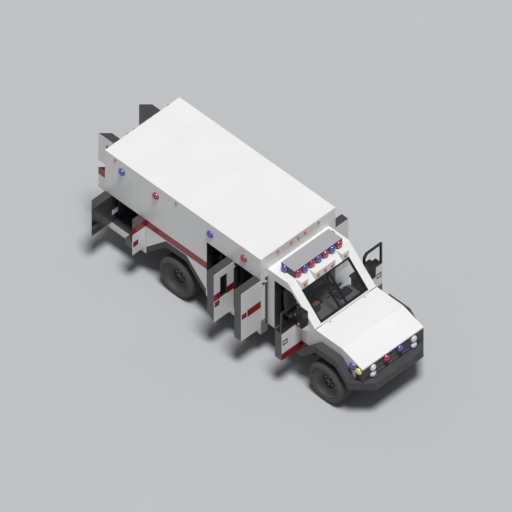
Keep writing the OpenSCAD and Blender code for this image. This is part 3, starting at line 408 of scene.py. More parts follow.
hinge_dark = (DARK, [{"ay": (0, SIDE_Y), "z": (0, level(10))}])
guard = (GUARD, [{**guard_zone, "ay": (0, SIDE_Y)}])
clad("entry_door", door_paint("entry_door_paint", front_skin("entry_door"),
                              [{**full_stripe, "ay": (SIDE_Y, BIG)}], [hinge_dark]))
for side, width in (("left", 1), ("right", 2)):  # the front locker's stripe is this many courses wide
    node = f"front_locker_door_{side}"
    clad(node, door_paint(f"front_locker_paint_{side}", front_skin(node),
                          [{"z": STRIPE_Z, "ay": (SIDE_Y, SIDE_Y + width * CELL)}], [guard]))
    node = f"rear_locker_door_a_{side}"
    clad(node, door_paint(f"locker_a_paint_{side}", front_skin(node), [full_stripe]))
    node = f"rear_locker_door_b_{side}"
    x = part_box(node)[0].x
    clad(node, door_paint(f"locker_b_paint_{side}", {"x": (x - SKIN, x + SKIN)}, [full_stripe]))
    node = f"rear_door_{side}"
    y = max(abs(c.y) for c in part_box(node))
    clad(node, door_paint(f"rear_door_paint_{side}", {"ay": (y - SKIN, y + SKIN)}, [full_stripe]))
    node = f"cab_door_{side}"
    clad(node, door_paint(f"cab_door_paint_{side}", front_skin(node), [cab_stripe],
                          [(BLACK, [{"z": (BELT_Z - 0.012, BIG)}])]))


# ---------------------------------------------------------------- pieces
class Piece:
    """One mesh built from simple solids, placed in the shared frame."""

    def __init__(self, name, body, material, slot):
        self.name, self.body, self.material, self.slot = name, body, material, slot
        self.bm = bmesh.new()

    def box(self, low, high, bevel=0.004, matrix=None):
        low, high = Vector(low), Vector(high)
        low, high = Vector(map(min, low, high)), Vector(map(max, low, high))
        made = bmesh.ops.create_cube(self.bm, size=1.0)["verts"]
        size = high - low
        for v in made:
            v.co = Vector((v.co[i] * size[i] for i in range(3))) + (low + high) / 2
        bevel = min(bevel, min(size) * 0.45)
        if bevel > 0:
            edges = list({e for v in made for e in v.link_edges})
            made = bmesh.ops.bevel(self.bm, geom=edges, offset=bevel, segments=2, affect="EDGES",
                                   profile=0.6)["verts"]
        if matrix is not None:
            bmesh.ops.transform(self.bm, matrix=matrix, verts=made)
        return made

    def rod(self, a, b, radius, sides=12):
        a, b = Vector(a), Vector(b)
        turn = (b - a).to_track_quat("Z", "Y").to_matrix().to_4x4()
        bmesh.ops.create_cone(self.bm, cap_ends=True, segments=sides, radius1=radius, radius2=radius,
                              depth=(b - a).length, matrix=Matrix.Translation((a + b) / 2) @ turn)

    def lathe(self, profile, centre, axis, segments=48, radius_at=None, closed=True):
        """A profile of (radius, height) turned about an axis through centre."""
        turn = Matrix.Translation(Vector(centre)) @ Vector(axis).to_track_quat("Z", "Y").to_matrix().to_4x4()
        rings = []
        for i in range(segments):
            a = 2 * math.pi * i / segments
            ring = []
            for k, (r, h) in enumerate(profile):
                r2 = radius_at(r, h, i, k) if radius_at else r
                ring.append(self.bm.verts.new(turn @ Vector((r2 * math.cos(a), r2 * math.sin(a), h))))
            rings.append(ring)
        count = len(profile)
        for i in range(segments):
            here, there = rings[i], rings[(i + 1) % segments]
            for k in range(count if closed else count - 1):
                n = (k + 1) % count
                self.bm.faces.new((here[k], here[n], there[n], there[k]))
        if not closed:
            for k in (0, count - 1):
                if profile[k][0] > 1e-6:
                    self.bm.faces.new([r[k] for r in rings])

    def done(self, smooth=35):
        bmesh.ops.remove_doubles(self.bm, verts=self.bm.verts, dist=1e-5)
        bmesh.ops.recalc_face_normals(self.bm, faces=self.bm.faces)
        mesh = bpy.data.meshes.new(self.name)
        self.bm.to_mesh(mesh)
        self.bm.free()
        obj = bpy.data.objects.new(self.name, mesh)
        bpy.context.scene.collection.objects.link(obj)
        mesh.materials.append(mats[self.material])
        mesh.shade_smooth()
        mesh.set_sharp_from_angle(angle=math.radians(smooth))
        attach(obj, self.body)
        return obj


def islands(node):
    """Each separate solid of a CAD node, as (centre of its base, outward axis, radius, height)."""
    bm = bmesh.new()
    bm.from_mesh(NODES[node].data)
    bmesh.ops.remove_doubles(bm, verts=bm.verts, dist=1e-4)
    found, seen = [], set()
    for start in bm.verts:
        if start in seen:
            continue
        group, stack = [], [start]
        seen.add(start)
        while stack:
            v = stack.pop()
            group.append(v.co.copy())
            for edge in v.link_edges:
                other = edge.other_vert(v)
                if other not in seen:
                    seen.add(other)
                    stack.append(other)
        low = Vector((min(c[i] for c in group) for i in range(3)))
        high = Vector((max(c[i] for c in group) for i in range(3)))
        size, middle = high - low, (low + high) / 2
        thin = min(range(3), key=lambda i: size[i])
        sign = 1 if middle[thin] > 0 else -1
        axis = Vector((0, 0, 0))
        axis[thin] = sign
        base = middle.copy()
        base[thin] = low[thin] if sign > 0 else high[thin]
        found.append((base, axis, max(size) / 2, size[thin]))
    bm.free()
    return found


# ---- wheels
TREAD = 0.011  # depth of the tread
TREAD_ROWS = 27
GROOVES = (5, 10, 16, 21)  # rows cut all the way round
TYRE_SEGMENTS = 288


def build_wheel(end, side):
    """Tyre with carved tread, dished wheel, hub well and nuts, each in place of or beside its CAD node."""
    low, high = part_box(f"tyre_{end}_{side}")
    centre, body = (low + high) / 2, f"wheel_{end}_{side}"
    sign = 1 if side == "left" else -1
    axis = Vector((0, sign, 0))
    outer, half = (high.z - low.z) / 2, (high.y - low.y) / 2
    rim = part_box(f"rim_{end}_{side}")[1].z - centre.z

    wall = [(rim + 0.002, -half + 0.035), (rim + 0.010, -half + 0.006), (rim + 0.03, -half - 0.004),
            (rim + 0.075, -half - 0.007), (outer - 0.055, -half + 0.006), (outer - 0.016, -half + 0.036)]
    edge = half - 0.052
    tread_from, tread_to = len(wall), len(wall) + TREAD_ROWS
    profile = list(wall)
    for i in range(TREAD_ROWS):
        y = -edge + 2 * edge * i / (TREAD_ROWS - 1)
        profile.append((outer - 0.010 * (y / edge) ** 4, y))
    profile += [(r, -y) for r, y in reversed(wall)]

    def carve(r, h, i, k):
        if tread_from - 1 <= k <= tread_to:
            row = k - tread_from
            if row in GROOVES:
                return r - TREAD
            shift = 3 if row < GROOVES[1] else (0 if row > GROOVES[2] else 1)
            slot = (i + shift + row // 4) % 8
            middle_rib = GROOVES[1] < row < GROOVES[2]
            if slot == 0 and not middle_rib:
                return r - TREAD * 0.8
            if slot == 4 and middle_rib:
                return r - TREAD * 0.5
        return r

    tyre = Piece(f"tread_tyre_{end}_{side}", body, "tyre", "tyre")
    tyre.lathe(profile, centre, axis, TYRE_SEGMENTS, carve)
    for radius in (rim + 0.045, rim + 0.06):
        tyre.lathe([(radius - 0.002, half - 0.002), (radius - 0.001, half + 0.0015),
                    (radius + 0.002, half + 0.0015), (radius + 0.003, half - 0.002)], centre, axis, 96)
    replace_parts(tyre.done(30), f"tyre_{end}_{side}")

    face = half - 0.150
    disc = Piece(f"dished_wheel_{end}_{side}", body, "wheel", "wheel_paint")
    disc.lathe([(rim, -half + 0.03), (rim + 0.001, half - 0.03), (rim - 0.006, half - 0.014),
                (rim - 0.016, half - 0.011), (rim - 0.022, half - 0.018), (rim - 0.028, half - 0.035),
                (0.228, face - 0.002), (0.214, face + 0.004), (0.200, face + 0.002), (0.192, face - 0.030),
                (0.045, face - 0.030), (0.045, face - 0.06), (0.2, face - 0.06), (0.235, face - 0.03),
                (rim - 0.05, half - 0.08), (rim - 0.034, half - 0.16), (rim - 0.03, -half + 0.03)],
               centre, axis, 96)
    turn = Matrix.Translation(centre) @ axis.to_track_quat("Z", "Y").to_matrix().to_4x4()
    for i in range(3):
        spin = turn @ Matrix.Rotation(math.radians(90 + 120 * i), 4, "Z")
        disc.box((0.04, -0.016, face - 0.034), (0.196, 0.016, face - 0.008), 0.006, spin)
    disc.lathe([(0.0, face + 0.012), (0.045, face + 0.010), (0.062, face + 0.002), (0.066, face - 0.034),
                (0.0, face - 0.034)], centre, axis, 40, closed=False)
    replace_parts(disc.done(), f"rim_{end}_{side}")
    well = Piece(f"hub_well_{end}_{side}", body, "hub", "wheel_paint")
    well.lathe([(0.0, face - 0.027), (0.19, face - 0.027), (0.191, face - 0.031), (0.0, face - 0.031)],
               centre, axis, 48, closed=False)
    well.done()
    nuts = Piece(f"wheel_nuts_{end}_{side}", body, "chrome", "plain_steel")
    count = 6
    for i in range(count):
        a = 2 * math.pi * (i + 0.5) / count
        p = Vector((0.128 * math.cos(a), 0.128 * math.sin(a), face - 0.030))
        nuts.rod(turn @ p, turn @ (p + Vector((0, 0, 0.02))), 0.014, 6)
        nuts.rod(turn @ (p + Vector((0, 0, 0.018))), turn @ (p + Vector((0, 0, 0.028))), 0.008, 10)
    p = Vector((0, rim - 0.05, half - 0.075))  # the tyre's valve
    nuts.rod(turn @ p, turn @ (p + Vector((0, -0.008, 0.035))), 0.0045, 8)
    nuts.done()


for end in ("front", "rear"):
    for side in ("left", "right"):
        build_wheel(end, side)

# ---- lamps
rings = Piece("lamp_bezels", "root", "black", "black_trim")


def lamp_shape(piece, base, axis, radius, height):
    """A fluted dome on a thin black ring."""
    steps, segments, flutes = 9, 48, 16
    profile = [(radius * 0.975, 0.0)]
    for i in range(steps + 1):
        a = math.pi / 2 * i / steps
        profile.append((max(radius * 0.975 * math.cos(a), 0.0), height * (0.10 + 0.90 * math.sin(a))))

    def fluted(r, h, i, k):
        return r * (1 - (0.018 if i % (segments // flutes) == 0 and 1 <= k < steps else 0))

    piece.lathe(profile, base, axis, segments, fluted, closed=False)
    thick = height * 0.07
    rings.lathe([(radius * 0.96, 0.0), (radius * 0.96, thick), (radius * 0.99, thick), (radius, thick * 0.4),
                 (radius, 0.0)], base, axis, 40)


lamp_pieces = {
    "red_beacons": Piece("red_domes", "root", "red", "red_lens"),
    "blue_beacons": Piece("blue_domes", "root", "blue", "blue_lens"),
    "amber_lamps": Piece("amber_domes", "root", "amber", "amber_lens"),
    "headlamps": Piece("headlamp_lenses", "root", "clear", "clear_lens"),
}
yellow = Piece("yellow_domes", "root", "yellow", "amber_lens")
MARKER_R = 0.06  # an amber lamp larger than this is a yellow direction lamp
for node, piece in lamp_pieces.items():
    for base, axis, radius, height in islands(node):
        big_amber = node == "amber_lamps" and radius > MARKER_R
        lamp_shape(yellow if big_amber else piece, base, axis, radius, height)
    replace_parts(piece.done(40), node)
yellow.done(40)
rings.done()

# ---- grille: crossed wires, frame bars and the radiator behind
wires = Piece("grille_wires", "root", "wire", "black_trim")
low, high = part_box("grille_mesh")
x = (low.x + high.x) / 2
width, height = high.y - low.y, high.z - low.z
WIRE_R, WIRE_PITCH, FRAME_BAR = 0.0065, 0.044, 0.012
for tilt, depth in ((1, -0.004), (-1, 0.004)):
    offset = -height
    while offset < width:
        y0, z0, y1, z1 = offset, 0.0, offset + height, height
        if y0 < 0:
            z0, y0 = -y0, 0.0
        if y1 > width:
            z1, y1 = height - (y1 - width), width
        if z1 - z0 > 0.01:
            if tilt > 0:
                a, b = (low.y + y0, low.z + z0), (low.y + y1, low.z + z1)
            else:
                a, b = (high.y - y0, low.z + z0), (high.y - y1, low.z + z1)
            wires.rod((x + depth, *a), (x + depth, *b), WIRE_R, 6)
        offset += WIRE_PITCH
for y in (low.y, -0.006, high.y - FRAME_BAR):
    wires.box((x - 0.014, y, low.z), (x + 0.014, y + FRAME_BAR, high.z), 0.003)
for z in (low.z, high.z - FRAME_BAR):
    wires.box((x - 0.014, low.y, z), (x + 0.014, high.y, z + FRAME_BAR), 0.003)
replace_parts(wires.done(), "grille_mesh")
radiator = Piece("radiator_core", "root", "alu", "aluminium")
back_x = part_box("grille_panel")[0].x - 0.05
FINS = 46
for i in range(FINS):
    z = low.z + 0.01 + i * (height - 0.02) / (FINS - 1)
    radiator.box((back_x - 0.03, low.y + 0.05, z - 0.0012), (back_x, high.y - 0.05, z + 0.0012), 0)
radiator.done()
tank = Piece("radiator_frame", "root", "chassis", "chassis_black")
for z in (low.z - 0.03, high.z - 0.01):
    tank.box((back_x - 0.05, low.y + 0.02, z), (back_x + 0.01, high.y - 0.02, z + 0.045), 0.01)
for y in (low.y + 0.02, high.y - 0.06):
    tank.box((back_x - 0.05, y, low.z), (back_x + 0.01, y + 0.04, high.z), 0.01)
tank.done()

# ---- mirrors: glass at the back, with a rim
low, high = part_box("mirrors")
glass_piece = Piece("mirror_glasses", "root", "mirror", "window_glass")
rim_piece = Piece("mirror_rims", "root", "black", "black_trim")
for s in (1, -1):
    y0, y1 = s * (high.y - 0.19), s * (high.y - 0.012)
    glass_piece.box((low.x - 0.002, y0, low.z + 0.03), (low.x + 0.004, y1, high.z - 0.03), 0.002)
    for z in (low.z + 0.012, high.z - 0.028):
        rim_piece.box((low.x - 0.005, y0, z), (low.x + 0.006, y1, z + 0.016), 0.004)
    for y in (y0, y1):
        rim_piece.box((low.x - 0.005, y - 0.008, low.z + 0.012),
                      (low.x + 0.006, y + 0.008, high.z - 0.012), 0.004)
glass_piece.done()
rim_piece.done()

# ---- latches, handles, check straps and locker lamps
LATCH, POCKET, BEZEL = 0.150, 0.030, 0.018


def latch(name, body, face, outward, centre, handle=False):
    """A bezel round a latch pocket with a red button, or a pull handle. outward is the face's normal."""
    side_axis = 1 if abs(outward.x) > 0.5 else 0
    bezel = Piece(f"{name}_bezel", body, "black", "black_trim")
    h = LATCH / 2

    def at(along_face, z, out):
        p = Vector((0, 0, 0))
        p[side_axis] = centre[0] + along_face
        p[1 - side_axis] = face + outward[1 - side_axis] * out
        p.z = centre[1] + z
        return p

    for z in (-h, h - BEZEL):
        bezel.box(at(-h, z, -0.004), at(h, z + BEZEL, 0.004), 0.003)
    for y in (-h, h - BEZEL):
        bezel.box(at(y, -h, -0.004), at(y + BEZEL, h, 0.004), 0.003)
    bezel.box(at(-h + 0.01, -h + 0.01, -POCKET), at(h - 0.01, h - 0.01, -POCKET + 0.004), 0.001)
    bezel.done()
    if handle:
        pull = Piece(f"{name}_pull", body, "silver", "aluminium")
        pull.box(at(-0.054, -0.050, -0.012), at(0.054, -0.004, 0.006), 0.008)
        pull.box(at(-0.054, 0.010, -0.016), at(0.054, 0.050, 0.003), 0.008)
        pull.box(at(-0.040, -0.010, -POCKET + 0.004), at(0.040, 0.014, -0.012), 0.003)
        pull.done()
    else:
        knob = Piece(f"{name}_button", body, "button", "red_lens")
        knob.box(at(-0.047, -0.047, -POCKET + 0.003), at(0.047, 0.047, 0.003), 0.012)
        knob.box(at(-0.026, -0.026, 0.0), at(0.026, 0.026, 0.006), 0.005)
        knob.done()


for node, body, z, handle in (
    ("entry_door", "entry_door", 1.43, False),
    ("front_locker_door_right", "front_locker_right", 1.65, False),
    ("front_locker_door_left", "front_locker_left", 1.65, False),
    ("cab_door_right", "cab_door_right", 1.43, True),
    ("cab_door_left", "cab_door_left", 1.43, True),
    ("rear_locker_door_a_right", "rear_locker_a_right", 1.21, False),
    ("rear_locker_door_a_left", "rear_locker_a_left", 1.21, False),
):
    low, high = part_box(node)
    inset = 0.110 if "cab" in node or "_a_" in node else 0.100
    y = low.y + inset if "right" in node or node == "entry_door" else high.y - inset
    latch(f"latch_{body}", body, high.x, X, (y, z), handle)
low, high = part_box("rear_door_left")
latch("latch_rear_door_left", "rear_door_left", high.y, Y, (low.x + 0.110, 1.87))

CHECK_INSET = 0.10
for name, body, x, y, proud in (
    ("entry", "entry_door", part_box("entry_door")[1].x, -SIDE_Y + CHECK_INSET, 0.006),
    ("front_locker_right", "front_locker_right", FRONT_X, -SIDE_Y + CHECK_INSET, 0.016),
    ("front_locker_left", "front_locker_left", FRONT_X, SIDE_Y - CHECK_INSET, 0.016),
):
    z = level(10) + 0.055
    s = 1 if y > 0 else -1
    strap = Piece(f"check_strap_{name}", body, "black", "black_trim")
    strap.box((x - 0.002, y - 0.075 * s, z - 0.014), (x + proud * 0.7, y + 0.08 * s, z + 0.022), 0.004)
    strap.box((x - 0.002, y - 0.02 * s, z - 0.034), (x + proud * 0.8, y + 0.05 * s, z + 0.036), 0.004)
    strap.done()
    lever = Piece(f"check_lever_{name}", body, "white", "body_white")
    lever.box((x - 0.002, y + 0.045 * s, z - 0.040), (x + proud, y + 0.105 * s, z - 0.005), 0.004)
    lever.box((x - 0.002, y - 0.085 * s, z + 0.010), (x + proud, y - 0.030 * s, z + 0.045), 0.004)
    for k in (-0.01, 0.04):
        lever.rod((x, y + k * s, z), (x + proud * 1.1, y + k * s, z), 0.009, 8)
    lever.done()

for side, s in SIDES:
    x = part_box(f"rear_locker_door_b_{side}")[1].x
    back, front = x - 0.002, x + 0.005
    light = Piece(f"locker_lamp_{side}", f"rear_locker_b_{side}", "clear", "clear_lens")
    light.box((back, s * (SIDE_Y - CELL + 0.02), 1.11), (front, s * (SIDE_Y - 0.01), 1.23), 0.003)
    for i in range(4):
        k = SIDE_Y - CELL + 0.03 + i * 0.048
        light.box((back, s * k, 1.225), (front, s * (k + 0.028), 1.262), 0.003)
    light.done()


# ---- seals and inner panels on the leaves
SEAL_W = 0.018


def inner_trim(node, body, margin, top=None):
    """A rubber seal and a raised panel on the inner face of an open leaf, which looks to the rear."""
    low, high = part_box(node)
    z0, z1 = low.z + 0.03, (top or high.z) - 0.03
    a, b = low.y + margin, high.y - margin
    seal = Piece(f"seal_{body}", body, "seal", "black_trim")
    panel = Piece(f"inner_panel_{body}", body, "cabinet", "cabinet")

    def at(y, z, out):
        return Vector((low.x - out, y, z))

    for z in (z0, z1 - SEAL_W):
        seal.box(at(a, z, -0.006), at(b, z + SEAL_W, 0.0045), 0.004)
    for y in (a, b - SEAL_W):
        seal.box(at(y, z0, -0.006), at(y + SEAL_W, z1, 0.0045), 0.004)
    panel.box(at(a + 0.05, z0 + 0.05, -0.006), at(b - 0.05, z1 - 0.05, 0.003), 0.003)
    seal.done()
    panel.done()


for side, _ in SIDES:
    inner_trim(f"front_locker_door_{side}", f"front_locker_{side}", 0.14)
    inner_trim(f"cab_door_{side}", f"cab_door_{side}", 0.13, BELT_Z)

# ---- module trim: rub rails and rows of rivets
RAIL_Z = (0.672, 0.690)
rails = Piece("rub_rails", "root", "alu", "aluminium")
for _, s in SIDES:
    y = s * SIDE_Y
    # over the wheel the rail has no length, which leaves one flat face 6 by 18 mm
    for start, end, proud, bevel in (
        (along(-17) + 0.99, along(-8) - 0.99, 0.004, 0.002),
        (REAR_X + 0.01, along(-17) - 0.02, 0.009, 0.003),
        (along(-8) + 0.02, FRONT_X - 0.01, 0.009, 0.003),
    ):
        rails.box((start, y - 0.002 * s, RAIL_Z[0]), (end, y + proud * s, RAIL_Z[1]), bevel)
rails.done()
RIVET_R, RIVET_SUNK, RIVET_PROUD = 0.006, 0.001, 0.003
RIVET_INSET, RIVET_MARGIN = 0.035, 0.06  # from the roof's edge, and from the row's ends
RIVETS_ALONG, RIVETS_ACROSS = 46, 22
rivets = Piece("roof_rivets", "root", "white", "body_white")


def roof_rivet(x, y):
    rivets.rod((x, y, ROOF_Z - RIVET_SUNK), (x, y, ROOF_Z + RIVET_PROUD), RIVET_R, 8)


for i in range(RIVETS_ALONG):
    x = REAR_X + RIVET_MARGIN + (FRONT_X - REAR_X - 2 * RIVET_MARGIN) * i / (RIVETS_ALONG - 1)
    z = CEILING_Z + 0.03
    for _, s in SIDES:
        rivets.rod((x, s * (SIDE_Y - RIVET_SUNK), z), (x, s * (SIDE_Y + RIVET_PROUD), z), RIVET_R, 8)
        roof_rivet(x, s * (SIDE_Y - RIVET_INSET))
for i in range(RIVETS_ACROSS):
    y = -SIDE_Y + RIVET_MARGIN + (2 * SIDE_Y - 2 * RIVET_MARGIN) * i / (RIVETS_ACROSS - 1)
    for x in (FRONT_X - RIVET_INSET, REAR_X + RIVET_INSET):
        roof_rivet(x, y)
rivets.done()

# ---- bumper bolts and the blank rear plate
bolts = Piece("bumper_bolts", "root", "black", "black_trim")
bumper_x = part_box("front_bumper")[1].x
BOLT_PROUD = 0.008
for y in (-0.6, -0.2, 0.2, 0.6):
    bolts.rod((bumper_x - 0.002, y, 0.99), (bumper_x + BOLT_PROUD, y, 0.99), 0.014, 6)
bolts.done()
plates = Piece("blank_plate", "root", "white", "body_white")
plates.box((REAR_X - 0.006, 0.9, 0.90), (REAR_X + 0.001, 1.15, 1.03), 0.003)
plates.done()

# ---- rear step: grip strips
step_low, step_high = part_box("rear_step")
grips = Piece("step_grips", "root", "seal", "black_trim")
for i in range(5):
    x = step_low.x + 0.03 + i * 0.05
    grips.box((x, step_low.y + 0.05, step_high.z - 0.001),
              (x + 0.018, step_high.y - 0.05, step_high.z + 0.004), 0.003)
grips.done()

# ---- dashboard: binnacle, switches, dials, a warning lamp on its pod, and the radio
dash_low, dash_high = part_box("dashboard")
bx = dash_low.x  # the face towards the seats
panel = Piece("dash_binnacle", "root", "black", "black_trim")
panel.box((bx + 0.03, 0.24, dash_high.z - 0.01), (bx + 0.24, 0.64, dash_high.z + 0.075), 0.02)
for i in range(9):
    y = -0.70 + i * 0.024
    panel.box((bx - 0.004, y, dash_high.z - 0.075), (bx + 0.004, y + 0.012, dash_high.z - 0.02), 0.002)
panel.box((bx - 0.012, -0.16, 1.34), (bx + 0.02, 0.16, dash_high.z - 0.02), 0.008)
panel.done()
dials = Piece("dash_dials", "root", "chrome", "aluminium")
for y, r in ((0.32, 0.042), (0.44, 0.034), (0.56, 0.042)):
    dials.lathe([(r, 0.0), (r, 0.006), (r - 0.005, 0.008), (r - 0.006, 0.002), (0.0, 0.002), (0.0, 0.0)],
                (bx + 0.028, y, dash_high.z + 0.03), (-1, 0, 0), 32, closed=False)
for i in range(10):
    dials.rod((bx - 0.012, -0.13 + 0.029 * i, 1.40), (bx - 0.024, -0.13 + 0.029 * i, 1.402), 0.007, 10)
dials.done()
pod = Piece("dash_pod", "root", "dark", "dark_trim")
pod.box((bx + 0.02, -0.48, dash_high.z - 0.01), (bx + 0.14, -0.29, dash_high.z + 0.25), 0.015)
pod.done()
warn = Piece("dash_warning_lamp", "root", "button", "red_lens")
warn.lathe([(0.0, 0.016), (0.070, 0.012), (0.085, 0.002), (0.085, -0.004), (0.0, -0.004)],
           (bx + 0.08, -0.385, dash_high.z + 0.25), (0, 0, 1), 3, closed=False)
warn.done()
radio = Piece("dash_radio", "root", "cabinet", "cabinet")
radio.box((bx - 0.02, -0.10, 1.43), (bx, 0.10, 1.49), 0.004)
for i in range(5):
    radio.box((bx - 0.026, -0.08 + i * 0.034, 1.447), (bx - 0.018, -0.06 + i * 0.034, 1.473), 0.002)
radio.done()


# ---- padded seats
GRID = (36, 28, 8)
SWELL = 0.008  # how far the cloth may move a point
CLOTH_FRAMES = 20
pads = []


def pad(name, origin, across, deep, up, size, channels, crown, material, slot, fill):
    """A closed pad a little under its size, for blow_up and sew to finish."""
    w, d, h = size[0] - SWELL, size[1] - SWELL, size[2] - SWELL
    nx, ny, nz = GRID
    bm = bmesh.new()
    grid = {}

    def shape(u, v, t):
        eu, ev = abs(2 * u - 1), abs(2 * v - 1)
        pull = 0.006 * math.sin(math.pi * t)
        a = (u - 0.5) * w * (1 - 0.035 * ev ** 8) - math.copysign(pull * (1 - ev ** 2) * eu ** 6, u - 0.5)
        b = (v - 0.5) * d * (1 - 0.035 * eu ** 8) - math.copysign(pull * (1 - eu ** 2) * ev ** 6, v - 0.5)
        c = t * h
        if t > 0.5:
            shoulder = 0.30 * h * max(0.0, (max(eu, ev) - 0.86) / 0.14) ** 2.4
            c += (2 * t - 1) * (crown * (1 - eu ** 4) * (1 - ev ** 4) - shoulder)
        return origin + across * a + deep * b + up * c

    def vert(i, j, k):
        key = (i, j, k)
        if key not in grid:
            grid[key] = bm.verts.new(shape(i / nx, j / ny, k / nz))
        return grid[key]

    for i in range(nx):
        for j in range(ny):
            for k in (0, nz):
                bm.faces.new([vert(i, j, k), vert(i + 1, j, k), vert(i + 1, j + 1, k), vert(i, j + 1, k)])
    for k in range(nz):
        for i in range(nx):
            for j in (0, ny):
                bm.faces.new([vert(i, j, k), vert(i + 1, j, k), vert(i + 1, j, k + 1), vert(i, j, k + 1)])
        for j in range(ny):
            for i in (0, nx):
                bm.faces.new([vert(i, j, k), vert(i, j + 1, k), vert(i, j + 1, k + 1), vert(i, j, k + 1)])
    bmesh.ops.recalc_face_normals(bm, faces=bm.faces)
    mesh = bpy.data.meshes.new(name)
    bm.verts.index_update()
    keys = {key: v.index for key, v in grid.items()}
    bm.to_mesh(mesh)
    bm.free()
    obj = bpy.data.objects.new(name, mesh)
    bpy.context.scene.collection.objects.link(obj)
    mesh.materials.append(mats[material])
    pads.append({"obj": obj, "keys": keys, "up": up, "size": (w, d), "channels": channels,
                 "material": material, "slot": slot, "fill": fill})


def blow_up():
    """Cloth under pressure with the underside pinned, each point's move capped."""
    scene = bpy.context.scene
    for p in pads:
        group = p["obj"].vertex_groups.new(name="pin")
        group.add([n for key, n in p["keys"].items() if key[2] == 0], 1.0, "REPLACE")
        cloth = p["obj"].modifiers.new("cloth", "CLOTH").settings
        cloth.use_pressure = True
        cloth.uniform_pressure_force = 4.0
        cloth.effector_weights.gravity = 0.0
        cloth.vertex_group_mass = "pin"
    for step in range(1, CLOTH_FRAMES + 1):
        scene.frame_set(step)
    graph = bpy.context.evaluated_depsgraph_get()
    moved = [[v.co.copy() for v in p["obj"].evaluated_get(graph).data.vertices] for p in pads]
    scene.frame_set(1)
    for p, places in zip(pads, moved):
        p["obj"].modifiers.clear()
        p["obj"].vertex_groups.clear()
        for v, place in zip(p["obj"].data.vertices, places):
            move = place - v.co
            v.co += move if move.length < SWELL else move.normalized() * SWELL


def sew(p):
    """Channels and wrinkles across the face, then piping round the rim."""
    obj, (w, d) = p["obj"], p["size"]
    nx, ny, nz = GRID
    verts = obj.data.vertices
    for (i, j, k), n in p["keys"].items():
        if 2 * k <= nz:
            continue
        u, v, lift = i / nx, j / ny, 2 * k / nz - 1
        edge = max(abs(2 * u - 1), abs(2 * v - 1))
        fall = 0.0
        for at, way in p["channels"]:
            off = (u - at) * w if way == "u" else (v - at) * d
            fall += 0.010 * math.exp(-(off / 0.011) ** 2) * (1 - edge ** 6)
        fall += 0.0010 * math.sin(u * 37 + v * 22) * math.sin(v * 29)
        verts[n].co -= p["up"] * (lift * fall)
    loop = [(i, 0) for i in range(1, nx)] + [(nx, j) for j in range(1, ny)]
    loop += [(nx - i, ny) for i in range(1, nx)] + [(0, ny - j) for j in range(1, ny)]
    points = [verts[p["keys"][(i, j, nz - 2)]].co.copy() for i, j in loop]
    obj.data.shade_smooth()
    smooth = obj.modifiers.new("smooth", "SUBSURF")
    smooth.levels = smooth.render_levels = 1
    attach(obj, "root")
    piping = Piece(f"{obj.name}_piping", "root", p["material"], p["slot"])
    for a, b in zip(points, points[1:] + points[:1]):
        piping.rod(a, b, 0.0035, 6)
    piping.done()


seat_low, seat_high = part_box("cab_seats")
for side, s in SIDES:
    yc = s * (seat_high.y - 0.25)
    x0 = seat_low.x + 0.17
    z0 = seat_low.z
    pad(f"seat_cushion_{side}", Vector((x0 + 0.245, yc, z0 + 0.235)), Y, X, Z, (0.48, 0.47, 0.112),
        [(0.25, "u"), (0.75, "u"), (0.33, "v"), (0.66, "v")], 0.018, "seat", "seat_fabric", 0.85)
    lean = Vector((-0.05, 0, 0.67)).normalized()
    front_way = Vector((lean.z, 0, -lean.x))
    middle = Vector((x0 - 0.120, yc, z0 + 0.345)) + lean * 0.325
    pad(f"seat_back_{side}", middle, Y, lean, front_way, (0.46, 0.63, 0.082),
        [(0.25, "u"), (0.75, "u"), (0.3, "v"), (0.62, "v")], 0.012, "seat", "seat_fabric", 0.85)
    pad(f"seat_headrest_{side}", Vector((x0 - 0.165, yc, z0 + 1.095)), Y, Z, X, (0.27, 0.155, 0.07),
        [], 0.010, "seat", "seat_fabric", 0.9)
    base = Piece(f"seat_base_{side}", "root", "dark", "dark_trim")
    base.box((x0, yc - 0.22, z0), (x0 + 0.38, yc + 0.22, z0 + 0.23), 0.02)
    base.box((x0 - 0.10, yc - 0.24, z0 + 0.19), (x0 + 0.02, yc + 0.24, z0 + 0.34), 0.02)
    for k in (-0.07, 0.07):
        base.rod((x0 - 0.135, yc + k, z0 + 0.98), (x0 - 0.14, yc + k, z0 + 1.05), 0.008)
    made = base.done()
    if side == "left":
        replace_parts(made, "cab_seats")

bench_low, bench_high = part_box("patient_bench")
bench_top, bench_front = bench_high.z, bench_high.y
PLACES = 3
bench_w = (bench_high.x - bench_low.x) / PLACES
bench_xs = [bench_low.x + bench_w * (i + 0.5) for i in range(PLACES)]
for i, xc in enumerate(bench_xs):
    pad(f"bench_cushion_{i + 1}", Vector((xc, bench_low.y + 0.30, bench_top - 0.60)), X, Y, Z,
        (bench_w - 0.012, 0.42, 0.125), [(0.5, "u")], 0.014, "vinyl", "bench_vinyl", 0.9)
    pad(f"bench_back_{i + 1}", Vector((xc, bench_low.y + 0.004, bench_top - 0.225)), X, Z, Y,
        (bench_w - 0.012, 0.44, 0.072), [(0.5, "u")], 0.010, "vinyl", "bench_vinyl", 0.9)
bench_base = Piece("bench_base", "root", "cabinet", "cabinet")
bench_base.box((bench_low.x, bench_low.y, bench_top - 0.64),
               (bench_high.x, bench_front, bench_top - 0.60), 0.01)
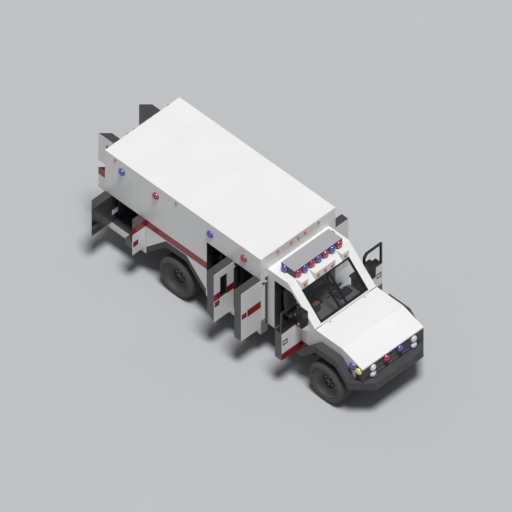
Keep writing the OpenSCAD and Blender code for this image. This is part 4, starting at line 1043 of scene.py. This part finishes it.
bench_base.box((bench_low.x, bench_front - 0.06, bench_low.z),
               (bench_high.x, bench_front - 0.01, bench_top - 0.635), 0.01)
for xc in bench_xs:
    bench_base.box((xc - 0.22, bench_front - 0.012, bench_low.z + 0.04),
                   (xc + 0.22, bench_front - 0.004, bench_top - 0.68), 0.003)
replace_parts(bench_base.done(), "patient_bench")
blow_up()
for item in pads:
    sew(item)

# ---------------------------------------------------------------- stage, light and camera
ground = bpy.data.meshes.new("floor_plane")
ground.from_pydata([(-40, -40, 0), (40, -40, 0), (40, 40, 0), (-40, 40, 0)], [], [(0, 1, 2, 3)])
floor = bpy.data.objects.new("studio_floor", ground)
bpy.context.scene.collection.objects.link(floor)
stage_paint = Shader("studio_floor_paint", roughness=0.9)
stage_paint.colour(stage_paint.mix(stage_paint.noise(0.4, 3), (0.44, 0.45, 0.46), (0.46, 0.47, 0.48)))
ground.materials.append(stage_paint.mat)

world = bpy.data.worlds.new("studio")
world.use_nodes = True
world.node_tree.nodes["Background"].inputs[0].default_value = (0.92, 0.95, 1.0, 1)
world.node_tree.nodes["Background"].inputs[1].default_value = 0.22
bpy.context.scene.world = world

key_data = bpy.data.lights.new("key", "SUN")
key_data.energy, key_data.angle = 3.1, math.radians(16)
key = bpy.data.objects.new("key", key_data)
key.rotation_mode = "QUATERNION"
key.rotation_quaternion = Vector((-0.25, 0.12, -1.0)).to_track_quat("-Z", "Y")
bpy.context.scene.collection.objects.link(key)

camera_data = bpy.data.cameras.new("camera")
camera_data.type = "ORTHO"
camera_data.ortho_scale = 11.75
camera = bpy.data.objects.new("camera", camera_data)
back = Vector((0.5, -0.5, math.sqrt(0.5))).normalized()  # 45 degrees right of the nose, 45 degrees up
aim = Vector((FRONT_X - 1.368, 0, 1.39))  # what the picture's middle shows
camera.location = aim + back * 30
camera.rotation_mode = "QUATERNION"
camera.rotation_quaternion = (-back).to_track_quat("-Z", "Y")
camera_data.clip_end = 200
bpy.context.scene.collection.objects.link(camera)
bpy.context.scene.camera = camera
bpy.context.scene.view_settings.view_transform = "Standard"
